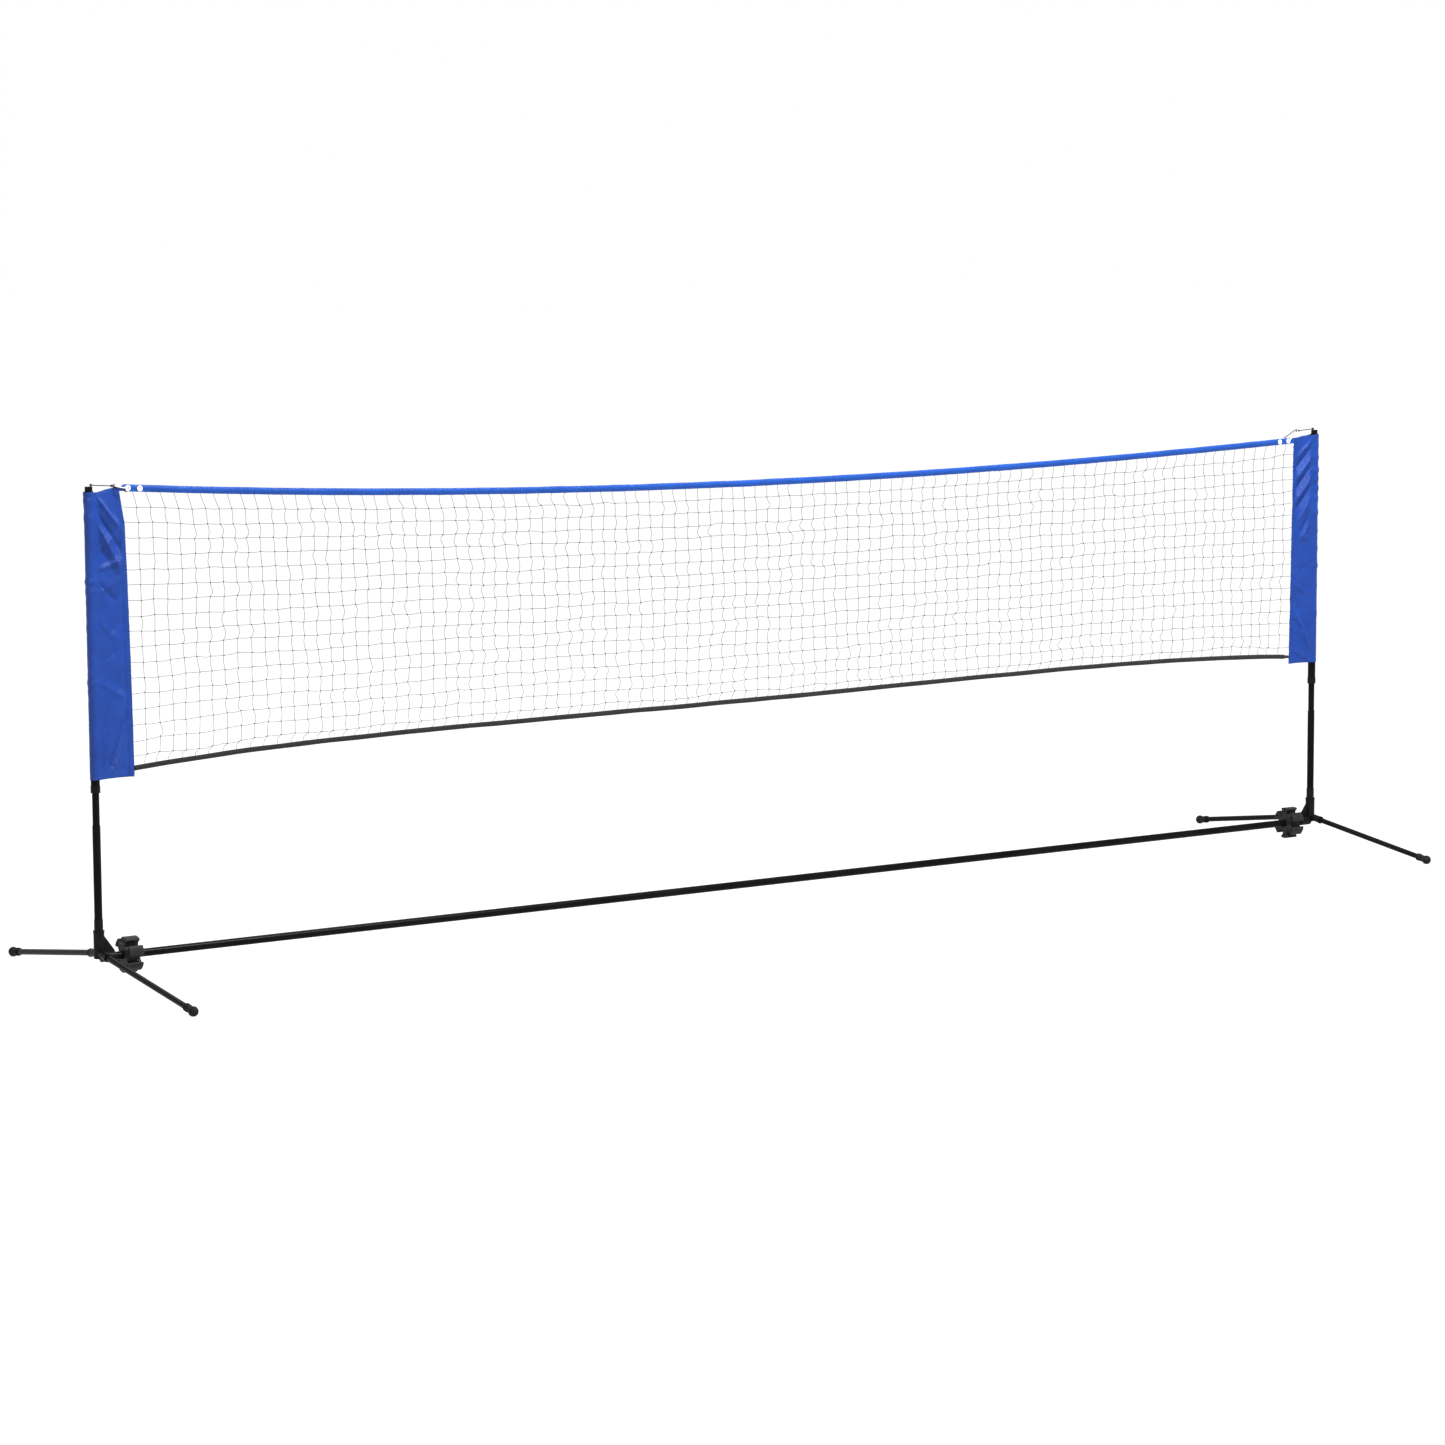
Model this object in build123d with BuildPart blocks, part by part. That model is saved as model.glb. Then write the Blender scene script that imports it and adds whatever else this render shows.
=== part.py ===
from build123d import *
import os
from math import atan2, cos, hypot, sin

# Portable badminton net: a free-standing 5 m net on two height-adjustable posts.
# X runs along the net, Y from the front to the back, Z up. The origin lies on the
# ground halfway between the posts. All sizes are in millimetres.

os.makedirs("parts", exist_ok=True)

# ---- overall layout ----
POST_X = 2500.0  # each post's axis, from the middle of the net
SIDES = {"left": -1, "right": 1}
BAR_Z = 87.0  # axis of the crossbar
LEG_Z = 102.0  # where the leg axes meet the post axis
FOOT_REACH = 630.0  # from the post axis to the centre of a foot's ball
FOOT_BALL_R = 16.0
FOOT_FLAT = 1.0  # the ball is worn flat by this much where it stands
FOOT_COLLAR_LENGTH = 44.0  # back along the leg from the ball's centre
FOOT_COLLAR_WALL = 2.6
FOOT_RING_WALL = 3.8
FOOT_RING_WIDTH = 4.0
FOOT_RINGS = (0.0, 9.0)  # where the collar's two grip rings start
LEG_END_BACK = 14.0  # the leg tube stops this far short of the ball's centre

# ---- tubes ----
TUBE_WALL = 1.2
BAR_R = 12.7
LEG_R = 9.5
LOWER_R = 12.7
INNER_R = 11.2
UPPER_R = 14.0
UPPER_WALL = 1.0
SLIDE_GAP = 0.3  # radial gap between pieces that slide on each other
FIT_GAP = 0.1  # radial gap between pieces pressed together

# ---- hub ----
SOCKET_WALL = 3.2
HUB_FLOOR_Z = 118.0  # bottom of the upright socket's bore
HUB_TOP_Z = 172.0
HUB_BOTTOM_Z = 84.0
HUB_R = 17.0
RIM_WIDTH = 6.0  # thicker rim round the mouths of the upright and leg sockets
RIM_STEP = 1.0
WEB_THICKNESS = 7.0  # stiffening web between the upright and the crossbar sockets
WEB_TOP_Z = 154.0
WEB_END_RISE = 6.0
WEB_INSET = 6.0  # the web starts this far inside the upright socket
BAR_SOCKET_ROOT = 6.0  # the crossbar socket grows out of the upright from here
BAR_SOCKET_START = 18.0
BAR_SOCKET_END = 52.0
LEG_SOCKET_START = 24.0
LEG_SOCKET_END = 62.0
SEAT_GAP = 0.5  # end gap of a tube in its socket

# ---- upright posts ----
FERRULE_R = 14.0  # plastic ferrule between the hub and the lower tube
FERRULE_TOP_Z = 207.0
LOWER_TOP_Z = 500.0
UPPER_BOTTOM_Z = 603.0
UPPER_TOP_Z = 1533.0
LOCK_BOTTOM_Z = 440.0
LOCK_LENGTH = 40.0
LOCK_PLUG_LENGTH = 22.0  # the part that sits inside the inner tube
LOCK_BORE_R = 3.0
LOCK_CHAMFER = 2.0
COLLAR_WIDTH = 22.0
COLLAR_WALL = 1.2
GUIDE_BUSH_LENGTH = 60.0
FERRULE_SEAT = 2.0  # how far the ferrule stands off the hub's floor
LOWER_SEAT = 4.0  # and how far the lower tube does
GLUE_GAP = 0.05  # radial gap between pieces glued together
INNER_TOP_Z = 1100.0
CAP_HEIGHT = 16.0
CAP_PLUG = 28.0
CAP_R = 11.8  # the ribbed head; the flange under it is as wide as the post
CAP_FLANGE = 2.0
CAP_FLUTES = 16
CAP_FLUTE_R = 0.9
HOOK_X = 8.0  # cord hook on the cap, from the post axis towards the net
HOOK_PIN_R = 2.2
HOOK_PIN_HEIGHT = 7.0
HOOK_HEAD_R = 4.2
HOOK_HEAD_Z = 6.0  # above the cap's top
HOOK_HEAD_THICKNESS = 2.2

# ---- crossbar ----
BAR_SECTIONS = 5
SPIGOT_LENGTH = 120.0
SPIGOT_WALL = 2.0
SHOCK_CORD_R = 2.5
SHOCK_KNOT_R = 5.0
ANCHOR_START = 30.0  # the knotted cord's anchor plug, from the post axis
ANCHOR_LENGTH = 16.0

# ---- storage clip ----
CLIP_X = 103.5  # middle of the clip, from the post axis
CLIP_WIDTH = 47.0
CLIP_R = 57.0
CLIP_POCKETS = 6
CLIP_TURN = {"left": 11.0, "right": 0.0}  # degrees each clip is turned on the bar
POCKET_R = BAR_R + 0.2
POCKET_CENTRE_R = 42.0
POCKET_MOUTH = 20.0
POCKET_LIP_R = 4.5
CLIP_CORE_CENTRE_R = 45.0  # small core holes that lighten the lobes
CLIP_CORE_R = 4.5

# ---- net ----
SLEEVE_BOTTOM_Z = {"left": 643.0, "right": 683.0}
# from the post axis to the sleeve's inner edge, at its bottom, middle and top
SLEEVE_WIDTH = {"left": (134.0, 128.0, 98.0), "right": (115.0, 108.5, 102.0)}
SLEEVE_MID_Z = 1090.0
SLEEVE_SHOULDER_Z = 1432.0  # above here the edge runs straight to the top corner
SLEEVE_SHOULDER = {"left": 119.0, "right": 103.5}
SLEEVE_CORNER_Z = {"left": 1541.0, "right": 1522.0}  # pulled up or down by the tape
SLEEVE_THICKNESS = 3.0
SLEEVE_POST_GAP = 0.4  # radial gap between the post and the sleeve's pocket
# Heights of a tape's middle line are HEIGHTS[n] * t**n summed, with t = x / CURVE_X.
CURVE_X = 2400.0
EDGE_SPANS = 12
HEAD_HEIGHTS = (1457.5, -6.0, 70.5, -8.0)  # sags between its ends
FOOT_HEIGHTS = (719.5, 21.5, 28.5, 0.0, -60.0)  # pulled up in the middle
HEAD_TAPE_END_X = 2392.0
HEAD_TAPE_HEIGHT = 22.0
HEAD_TAPE_THICKNESS = 8.0
NET_GAP = 0.6  # between the sleeves and the netting, where they are sewn
TAPE_GAP = 0.3  # between the netting and the two tapes
FOOT_TAPE_HEIGHT = 16.0
FOOT_TAPE_THICKNESS = 4.0
NET_THICKNESS = 1.0

# ---- ropes, eyelets and ties ----
ROPE_R = 2.5
ROPE_END_X = 2314.0
ROPE_CHANNEL_GAP = 0.4  # round the rope inside the head tape
EYELET_X = (2328.0, 2369.0)
EYELET_R = 9.0
EYELET_BARREL_R = 6.2
EYELET_HOLE_R = 5.4
EYELET_FLANGE = 1.2
LOOP_ROPE_R = 2.0
LOOP_HALF_WIDTH = 8.0
LOOP_FAR = (86.0, 1548.0)  # loop's post end, from the post axis, and its height
TIE_R = 1.5
TIE_Z = 1553.0
HOOK_EYE_GAP = 0.3  # between the tie cord's eye and the hook
LOOP_EYE_GAP = 0.7  # between its small eye and the rope loop
KNOT_R = 4.2
END_KNOT_R = 2.4
# the tie cord's free end, from its knot: distance from the post axis, depth and height
TIE_TAIL = {
    "left": ((84.0, -8.0, 1546.5), (94.0, -14.0, 1541.0), (107.0, -14.5, 1535.0), (120.0, -13.5, 1530.5)),
    "right": ((91.0, -3.0, 1554.0), (112.0, -4.0, 1546.0), (131.0, -2.0, 1533.0), (144.0, 0.0, 1526.5)),
}
KNOT_OVERLAP = 1.0  # how far the knot runs into the small eye


def save(builder, label):
    """Names a finished piece and writes its STEP file."""
    builder.part.label = label
    export_step(builder.part, f"parts/{label}.step")


def upright(side, z):
    """Level plane at height z on a post's axis; its X points towards the net."""
    return Plane(origin=(side * POST_X, 0, z), x_dir=(-side, 0, 0), z_dir=(0, 0, 1))


def standing(side):
    """Vertical plane through a post's axis; X points towards the net, Y up."""
    return Plane(origin=(side * POST_X, 0, 0), x_dir=(-side, 0, 0), z_dir=(0, side, 0))


def bar_plane(side, distance):
    """Plane square to the crossbar, at a distance from the post axis, facing the net."""
    origin = (side * (POST_X - distance), 0, BAR_Z)
    return Plane(origin=origin, x_dir=(0, 1, 0), z_dir=(-side, 0, 0))


LEG_DROP = LEG_Z - (FOOT_BALL_R - FOOT_FLAT)
LEG_LENGTH = hypot(FOOT_REACH, LEG_DROP)
LEG_TILT = atan2(LEG_DROP, FOOT_REACH)


def leg_plane(side, end, distance):
    """Plane square to a leg, at a distance from the post axis; end is -1 front, 1 back."""
    run = Vector(0, end * cos(LEG_TILT), -sin(LEG_TILT))
    start = Vector(side * POST_X, 0, LEG_Z)
    return Plane(origin=start + run * distance, x_dir=(1, 0, 0), z_dir=run)


def tube(label, plane, length, radius, wall):
    """A straight round tube that starts on plane."""
    with BuildPart() as piece:
        with BuildSketch(plane):
            Circle(radius)
            Circle(radius - wall, mode=Mode.SUBTRACT)
        extrude(amount=length)
    save(piece, label)


# ---------------------------------------------------------------- base
def make_hub(name, side):
    """Moulded hub: upright socket, crossbar socket, two leg sockets and a web."""
    with BuildPart() as hub:
        with BuildSketch(upright(side, HUB_BOTTOM_Z)):
            Circle(HUB_R)
        extrude(amount=HUB_TOP_Z - HUB_BOTTOM_Z)
        with BuildSketch(upright(side, HUB_TOP_Z - RIM_WIDTH)):
            Circle(HUB_R + RIM_STEP)
        extrude(amount=RIM_WIDTH)
        with BuildSketch(bar_plane(side, BAR_SOCKET_ROOT)):
            Circle(BAR_R + SOCKET_WALL)
        extrude(amount=BAR_SOCKET_END - BAR_SOCKET_ROOT)
        for end in (-1, 1):
            with BuildSketch(leg_plane(side, end, 0)):
                Circle(LEG_R + SOCKET_WALL)
            extrude(amount=LEG_SOCKET_END)
            with BuildSketch(leg_plane(side, end, LEG_SOCKET_END - RIM_WIDTH)):
                Circle(LEG_R + SOCKET_WALL + RIM_STEP)
            extrude(amount=RIM_WIDTH)
        web_low = BAR_Z + BAR_R
        with BuildSketch(standing(side)):
            with BuildLine():
                Polyline(
                    (HUB_R - WEB_INSET, web_low),
                    (BAR_SOCKET_END, web_low),
                    (BAR_SOCKET_END, web_low + WEB_END_RISE),
                    (HUB_R, WEB_TOP_Z),
                    (HUB_R - WEB_INSET, WEB_TOP_Z),
                    close=True,
                )
            make_face()
        extrude(amount=WEB_THICKNESS / 2, both=True)
        with BuildSketch(upright(side, HUB_FLOOR_Z)):
            Circle(FERRULE_R + FIT_GAP)
        extrude(amount=HUB_TOP_Z - HUB_FLOOR_Z, mode=Mode.SUBTRACT)
        with BuildSketch(bar_plane(side, BAR_SOCKET_START)):
            Circle(BAR_R + FIT_GAP)
        extrude(amount=BAR_SOCKET_END - BAR_SOCKET_START, mode=Mode.SUBTRACT)
        for end in (-1, 1):
            with BuildSketch(leg_plane(side, end, LEG_SOCKET_START)):
                Circle(LEG_R + SLIDE_GAP)
            extrude(amount=LEG_SOCKET_END, mode=Mode.SUBTRACT)
    save(hub, f"{name}_hub")


def make_foot_cap(name, side, end_name, end):
    """Rubber ball foot with a collar that grips the leg tube."""
    collar_start = LEG_LENGTH - FOOT_COLLAR_LENGTH
    with BuildPart() as cap:
        with BuildSketch(leg_plane(side, end, collar_start)):
            Circle(LEG_R + FOOT_COLLAR_WALL)
        extrude(amount=FOOT_COLLAR_LENGTH)
        for ring in FOOT_RINGS:
            with BuildSketch(leg_plane(side, end, collar_start + ring)):
                Circle(LEG_R + FOOT_RING_WALL)
            extrude(amount=FOOT_RING_WIDTH)
        with Locations(leg_plane(side, end, LEG_LENGTH)):
            Sphere(FOOT_BALL_R)
        with BuildSketch(leg_plane(side, end, collar_start)):
            Circle(LEG_R + GLUE_GAP)
        extrude(amount=FOOT_COLLAR_LENGTH - LEG_END_BACK, mode=Mode.SUBTRACT)
        split(bisect_by=Plane.XY, keep=Keep.TOP)
    save(cap, f"{name}_{end_name}_foot")


for name, side in SIDES.items():
    make_hub(name, side)
    for end_name, end in (("front", -1), ("rear", 1)):
        start = LEG_SOCKET_START + SEAT_GAP
        leg_length = LEG_LENGTH - LEG_END_BACK - SEAT_GAP - start
        tube(f"{name}_{end_name}_leg", leg_plane(side, end, start), leg_length, LEG_R, TUBE_WALL)
        make_foot_cap(name, side, end_name, end)

# ---------------------------------------------------------------- crossbar
BAR_HALF = POST_X - BAR_SOCKET_START - SEAT_GAP
SECTION = 2 * BAR_HALF / BAR_SECTIONS
SEAM = 0.6  # hairline gap between two sections


def across(x):
    """Plane square to the crossbar at x, facing right."""
    return Plane(origin=(x, 0, BAR_Z), z_dir=(1, 0, 0))


for i in range(BAR_SECTIONS):
    start = -BAR_HALF + i * SECTION
    tube(f"crossbar_{i + 1}", across(start), SECTION - SEAM, BAR_R, TUBE_WALL)

SPIGOT_R = BAR_R - TUBE_WALL - FIT_GAP
for i in range(1, BAR_SECTIONS):
    seam_x = -BAR_HALF + i * SECTION
    tube(f"spigot_{i}", across(seam_x - SPIGOT_LENGTH / 2), SPIGOT_LENGTH, SPIGOT_R, SPIGOT_WALL)

for name, side in SIDES.items():
    with BuildPart() as plug:
        with BuildSketch(bar_plane(side, ANCHOR_START)):
            Circle(SPIGOT_R)
            Circle(SHOCK_CORD_R + SLIDE_GAP, mode=Mode.SUBTRACT)
        extrude(amount=ANCHOR_LENGTH)
    save(plug, f"{name}_cord_anchor")

with BuildPart() as shock_cord:
    knot_x = POST_X - ANCHOR_START + SHOCK_KNOT_R + FIT_GAP
    with BuildSketch(across(-knot_x)):
        Circle(SHOCK_CORD_R)
    extrude(amount=2 * knot_x)
    with Locations((-knot_x, 0, BAR_Z), (knot_x, 0, BAR_Z)):
        Sphere(SHOCK_KNOT_R)
save(shock_cord, "shock_cord")


# ---------------------------------------------------------------- storage clips
def make_storage_clip(name, side):
    """Round clip on the crossbar with open pockets that hold the folded tubes."""
    face = bar_plane(side, CLIP_X - CLIP_WIDTH / 2)
    turn = CLIP_TURN[name]
    lobe_turn = turn + 180 / CLIP_POCKETS
    with BuildPart() as clip:
        with BuildSketch(face) as outline:
            Circle(CLIP_R)
            with PolarLocations(POCKET_CENTRE_R, CLIP_POCKETS, start_angle=turn):
                Circle(POCKET_R, mode=Mode.SUBTRACT)
            with PolarLocations(POCKET_CENTRE_R + POCKET_R, CLIP_POCKETS, start_angle=turn):
                Rectangle(2 * POCKET_R, POCKET_MOUTH, mode=Mode.SUBTRACT)
            rim = outline.vertices().filter_by(lambda v: hypot(v.X, v.Y) > CLIP_R - 0.5)
            fillet(rim, radius=POCKET_LIP_R)
            with PolarLocations(CLIP_CORE_CENTRE_R, CLIP_POCKETS, start_angle=lobe_turn):
                Circle(CLIP_CORE_R, mode=Mode.SUBTRACT)
            Circle(BAR_R + SLIDE_GAP, mode=Mode.SUBTRACT)
        extrude(amount=CLIP_WIDTH)
    save(clip, f"{name}_storage_clip")


for name, side in SIDES.items():
    make_storage_clip(name, side)


# ---------------------------------------------------------------- posts
def make_twist_lock(name, side):
    """Expanding plug under the inner tube; it grips the lower tube's wall."""
    with BuildPart() as lock:
        with BuildSketch(upright(side, LOCK_BOTTOM_Z)):
            Circle(INNER_R)
        extrude(amount=LOCK_LENGTH)
        with BuildSketch(upright(side, LOCK_BOTTOM_Z + LOCK_LENGTH)):
            Circle(INNER_R - TUBE_WALL - FIT_GAP)
        extrude(amount=LOCK_PLUG_LENGTH)
        with BuildSketch(upright(side, LOCK_BOTTOM_Z)):
            Circle(LOCK_BORE_R)
        extrude(amount=LOCK_LENGTH + LOCK_PLUG_LENGTH, mode=Mode.SUBTRACT)
        chamfer(lock.edges().group_by(Axis.Z)[0].sort_by(SortBy.LENGTH)[-1], length=LOCK_CHAMFER)
    save(lock, f"{name}_twist_lock")


def make_cap(name, side):
    """Ribbed plug that closes the post's top and carries a hook for the tie cord."""
    cap_top = UPPER_TOP_Z + CAP_HEIGHT
    with BuildPart() as cap:
        with BuildSketch(upright(side, UPPER_TOP_Z - CAP_PLUG)):
            Circle(UPPER_R - UPPER_WALL - FIT_GAP)
        extrude(amount=CAP_PLUG)
        with BuildSketch(upright(side, UPPER_TOP_Z)):
            Circle(UPPER_R)
        extrude(amount=CAP_FLANGE)
        with BuildSketch(upright(side, UPPER_TOP_Z)):
            Circle(CAP_R)
            with PolarLocations(CAP_R, CAP_FLUTES):
                Circle(CAP_FLUTE_R, mode=Mode.SUBTRACT)
        extrude(amount=CAP_HEIGHT)
        with BuildSketch(upright(side, cap_top)):
            with Locations((HOOK_X, 0)):
                Circle(HOOK_PIN_R)
        extrude(amount=HOOK_PIN_HEIGHT)
        with BuildSketch(upright(side, cap_top + HOOK_HEAD_Z)):
            with Locations((HOOK_X, 0)):
                Circle(HOOK_HEAD_R)
        extrude(amount=HOOK_HEAD_THICKNESS)
    save(cap, f"{name}_post_cap")


for name, side in SIDES.items():
    ferrule_z = HUB_FLOOR_Z + FERRULE_SEAT
    ferrule_wall = FERRULE_R - LOWER_R - GLUE_GAP
    tube(
        f"{name}_ferrule",
        upright(side, ferrule_z),
        FERRULE_TOP_Z - ferrule_z,
        FERRULE_R,
        ferrule_wall,
    )
    lower_z = HUB_FLOOR_Z + LOWER_SEAT
    tube(f"{name}_lower_tube", upright(side, lower_z), LOWER_TOP_Z - lower_z, LOWER_R, TUBE_WALL)
    make_twist_lock(name, side)
    inner_z = LOCK_BOTTOM_Z + LOCK_LENGTH + SLIDE_GAP
    tube(f"{name}_inner_tube", upright(side, inner_z), INNER_TOP_Z - inner_z, INNER_R, TUBE_WALL)
    bush_r = UPPER_R - UPPER_WALL - FIT_GAP
    bush_wall = bush_r - INNER_R - FIT_GAP
    bush_plane = upright(side, INNER_TOP_Z - GUIDE_BUSH_LENGTH)
    tube(f"{name}_guide_bush", bush_plane, GUIDE_BUSH_LENGTH, bush_r, bush_wall)
    upper_length = UPPER_TOP_Z - UPPER_BOTTOM_Z
    tube(f"{name}_upper_tube", upright(side, UPPER_BOTTOM_Z), upper_length, UPPER_R, UPPER_WALL)
    collar_r = UPPER_R + COLLAR_WALL
    collar_wall = COLLAR_WALL - GLUE_GAP
    tube(f"{name}_collar", upright(side, UPPER_BOTTOM_Z), COLLAR_WIDTH, collar_r, collar_wall)
    make_cap(name, side)


# ---------------------------------------------------------------- net
def flap_outline(name, side, margin):
    """Outline of a sleeve's flat flap, its inner edge moved out by margin."""
    low_width, mid_width, top_width = SLEEVE_WIDTH[name]
    bottom = SLEEVE_BOTTOM_Z[name]
    low = (low_width + margin, bottom)
    mid = (mid_width + margin, SLEEVE_MID_Z)
    shoulder = (SLEEVE_SHOULDER[name] + margin, SLEEVE_SHOULDER_Z)
    top = (top_width + margin, SLEEVE_CORNER_Z[name])
    with BuildSketch(standing(side)) as outline:
        with BuildLine():
            Line((0, bottom), low)
            Spline(low, mid, shoulder)
            Polyline(shoulder, top, (2 * UPPER_R, UPPER_TOP_Z), (0, UPPER_TOP_Z), (0, bottom))
        make_face()
    return outline.sketch


def make_sleeve(name, side):
    """Fabric end band: a pocket round the post and a flat flap sewn to the mesh."""
    bottom = SLEEVE_BOTTOM_Z[name]
    with BuildPart() as sleeve:
        extrude(flap_outline(name, side, 0), amount=SLEEVE_THICKNESS / 2, both=True)
        with BuildSketch(upright(side, bottom)):
            Circle(UPPER_R + SLEEVE_POST_GAP + SLEEVE_THICKNESS)
        extrude(amount=UPPER_TOP_Z - bottom)
        with BuildSketch(upright(side, bottom)):
            Circle(UPPER_R + SLEEVE_POST_GAP)
        extrude(amount=UPPER_TOP_Z - bottom, mode=Mode.SUBTRACT)
    save(sleeve, f"{name}_sleeve")


def curve_z(heights, x):
    """Height at x of a smooth curve along the net."""
    t = x / CURVE_X
    return sum(height * t**power for power, height in enumerate(heights))


def head_z(x):
    """Height of the head tape's middle line at x."""
    return curve_z(HEAD_HEIGHTS, x)


def foot_z(x):
    """Height of the foot tape's middle line at x."""
    return curve_z(FOOT_HEIGHTS, x)


def edge_points(curve, half_length):
    """Evenly spaced points along a curve, from left to right."""
    step = 2 * half_length / EDGE_SPANS
    places = [-half_length + i * step for i in range(EDGE_SPANS + 1)]
    return [(x, curve(x)) for x in places]


def band_outline(low, high, half_length):
    """Upright band along the net between two edges, given as height functions."""
    left = -half_length
    right = half_length
    with BuildSketch(Plane.XZ) as outline:
        with BuildLine():
            Spline(*edge_points(high, half_length))
            Line((right, high(right)), (right, low(right)))
            Spline(*edge_points(low, half_length))
            Line((left, low(left)), (left, high(left)))
        make_face()
    return outline.sketch


def above(curve, offset):
    """The same curve moved up by offset."""
    return lambda x: curve(x) + offset


EYELET_PLACES = [(side * x, head_z(side * x)) for side in (-1, 1) for x in EYELET_X]
CHANNEL_R = ROPE_R + ROPE_CHANNEL_GAP

with BuildPart() as head_tape:
    tape_low = above(head_z, -HEAD_TAPE_HEIGHT / 2)
    tape_high = above(head_z, HEAD_TAPE_HEIGHT / 2)
    tape = band_outline(tape_low, tape_high, HEAD_TAPE_END_X)
    extrude(tape, amount=HEAD_TAPE_THICKNESS / 2, both=True)
    channel = band_outline(above(head_z, -CHANNEL_R), above(head_z, CHANNEL_R), ROPE_END_X + 1)
    extrude(channel, amount=CHANNEL_R, both=True, mode=Mode.SUBTRACT)
    with BuildSketch(Plane.XZ):
        with Locations(*EYELET_PLACES):
            Circle(EYELET_BARREL_R + GLUE_GAP)
    extrude(amount=HEAD_TAPE_THICKNESS, both=True, mode=Mode.SUBTRACT)
save(head_tape, "head_tape")

with BuildPart() as foot_tape:
    hem_low = above(foot_z, -FOOT_TAPE_HEIGHT / 2)
    hem_high = above(foot_z, FOOT_TAPE_HEIGHT / 2)
    hem = band_outline(hem_low, hem_high, CURVE_X)
    extrude(hem, amount=FOOT_TAPE_THICKNESS / 2, both=True)
    for name, side in SIDES.items():
        flap = flap_outline(name, side, NET_GAP)
        extrude(flap, amount=FOOT_TAPE_THICKNESS, both=True, mode=Mode.SUBTRACT)
save(foot_tape, "foot_tape")

with BuildPart() as net_mesh:
    mesh_low = above(foot_z, FOOT_TAPE_HEIGHT / 2 + TAPE_GAP)
    mesh_high = above(head_z, -HEAD_TAPE_HEIGHT / 2 - TAPE_GAP)
    mesh = band_outline(mesh_low, mesh_high, HEAD_TAPE_END_X)
    extrude(mesh, amount=NET_THICKNESS / 2, both=True)
    for name, side in SIDES.items():
        flap = flap_outline(name, side, NET_GAP)
        extrude(flap, amount=NET_THICKNESS, both=True, mode=Mode.SUBTRACT)
save(net_mesh, "net_mesh")

with BuildPart() as head_rope:
    with BuildLine():
        sag = Spline(*[(x, 0, z) for x, z in edge_points(head_z, ROPE_END_X)])
    with BuildSketch(Plane(origin=sag @ 0, z_dir=sag % 0)):
        Circle(ROPE_R)
    sweep()
save(head_rope, "head_rope")


def make_eyelets(name, side):
    """Two plastic eyelets through the end of the head tape."""
    half = HEAD_TAPE_THICKNESS / 2
    with BuildPart() as eyelets:
        for x in EYELET_X:
            height = head_z(side * x)
            centre = (side * x, -half - EYELET_FLANGE, height)
            with BuildSketch(Plane(origin=centre, z_dir=(0, 1, 0))):
                Circle(EYELET_R)
            extrude(amount=EYELET_FLANGE)
            with BuildSketch(Plane(origin=(side * x, half, height), z_dir=(0, 1, 0))):
                Circle(EYELET_R)
            extrude(amount=EYELET_FLANGE)
            with BuildSketch(Plane(origin=centre, z_dir=(0, 1, 0))):
                Circle(EYELET_BARREL_R)
            extrude(amount=HEAD_TAPE_THICKNESS + 2 * EYELET_FLANGE)
            with BuildSketch(Plane(origin=centre, z_dir=(0, 1, 0))):
                Circle(EYELET_HOLE_R)
            extrude(amount=HEAD_TAPE_THICKNESS + 2 * EYELET_FLANGE, mode=Mode.SUBTRACT)
    save(eyelets, f"{name}_eyelets")


def make_rope_loop(name, side):
    """Closed rope loop threaded through the outer eyelet and round the tie cord."""
    eyelet = Vector(POST_X - EYELET_X[1], head_z(side * EYELET_X[1]))
    far = Vector(*LOOP_FAR)
    along = eyelet - far
    run = along.normalized()
    length = along.length
    origin = Vector(side * (POST_X - far.X), 0, far.Y)
    direction = Vector(-side * run.X, 0, run.Y)
    plane = Plane(origin=origin, x_dir=direction, z_dir=direction.cross(Vector(0, 1, 0)))
    w = LOOP_HALF_WIDTH
    with BuildPart() as loop:
        with BuildLine(plane):
            first_run = Line((w, w), (length - w, w))
            ThreePointArc((length - w, w), (length, 0), (length - w, -w))
            Line((length - w, -w), (w, -w))
            ThreePointArc((w, -w), (0, 0), (w, w))
        with BuildSketch(Plane(origin=first_run @ 0, z_dir=first_run % 0)):
            Circle(LOOP_ROPE_R)
        sweep()
    save(loop, f"{name}_rope_loop")


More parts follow.
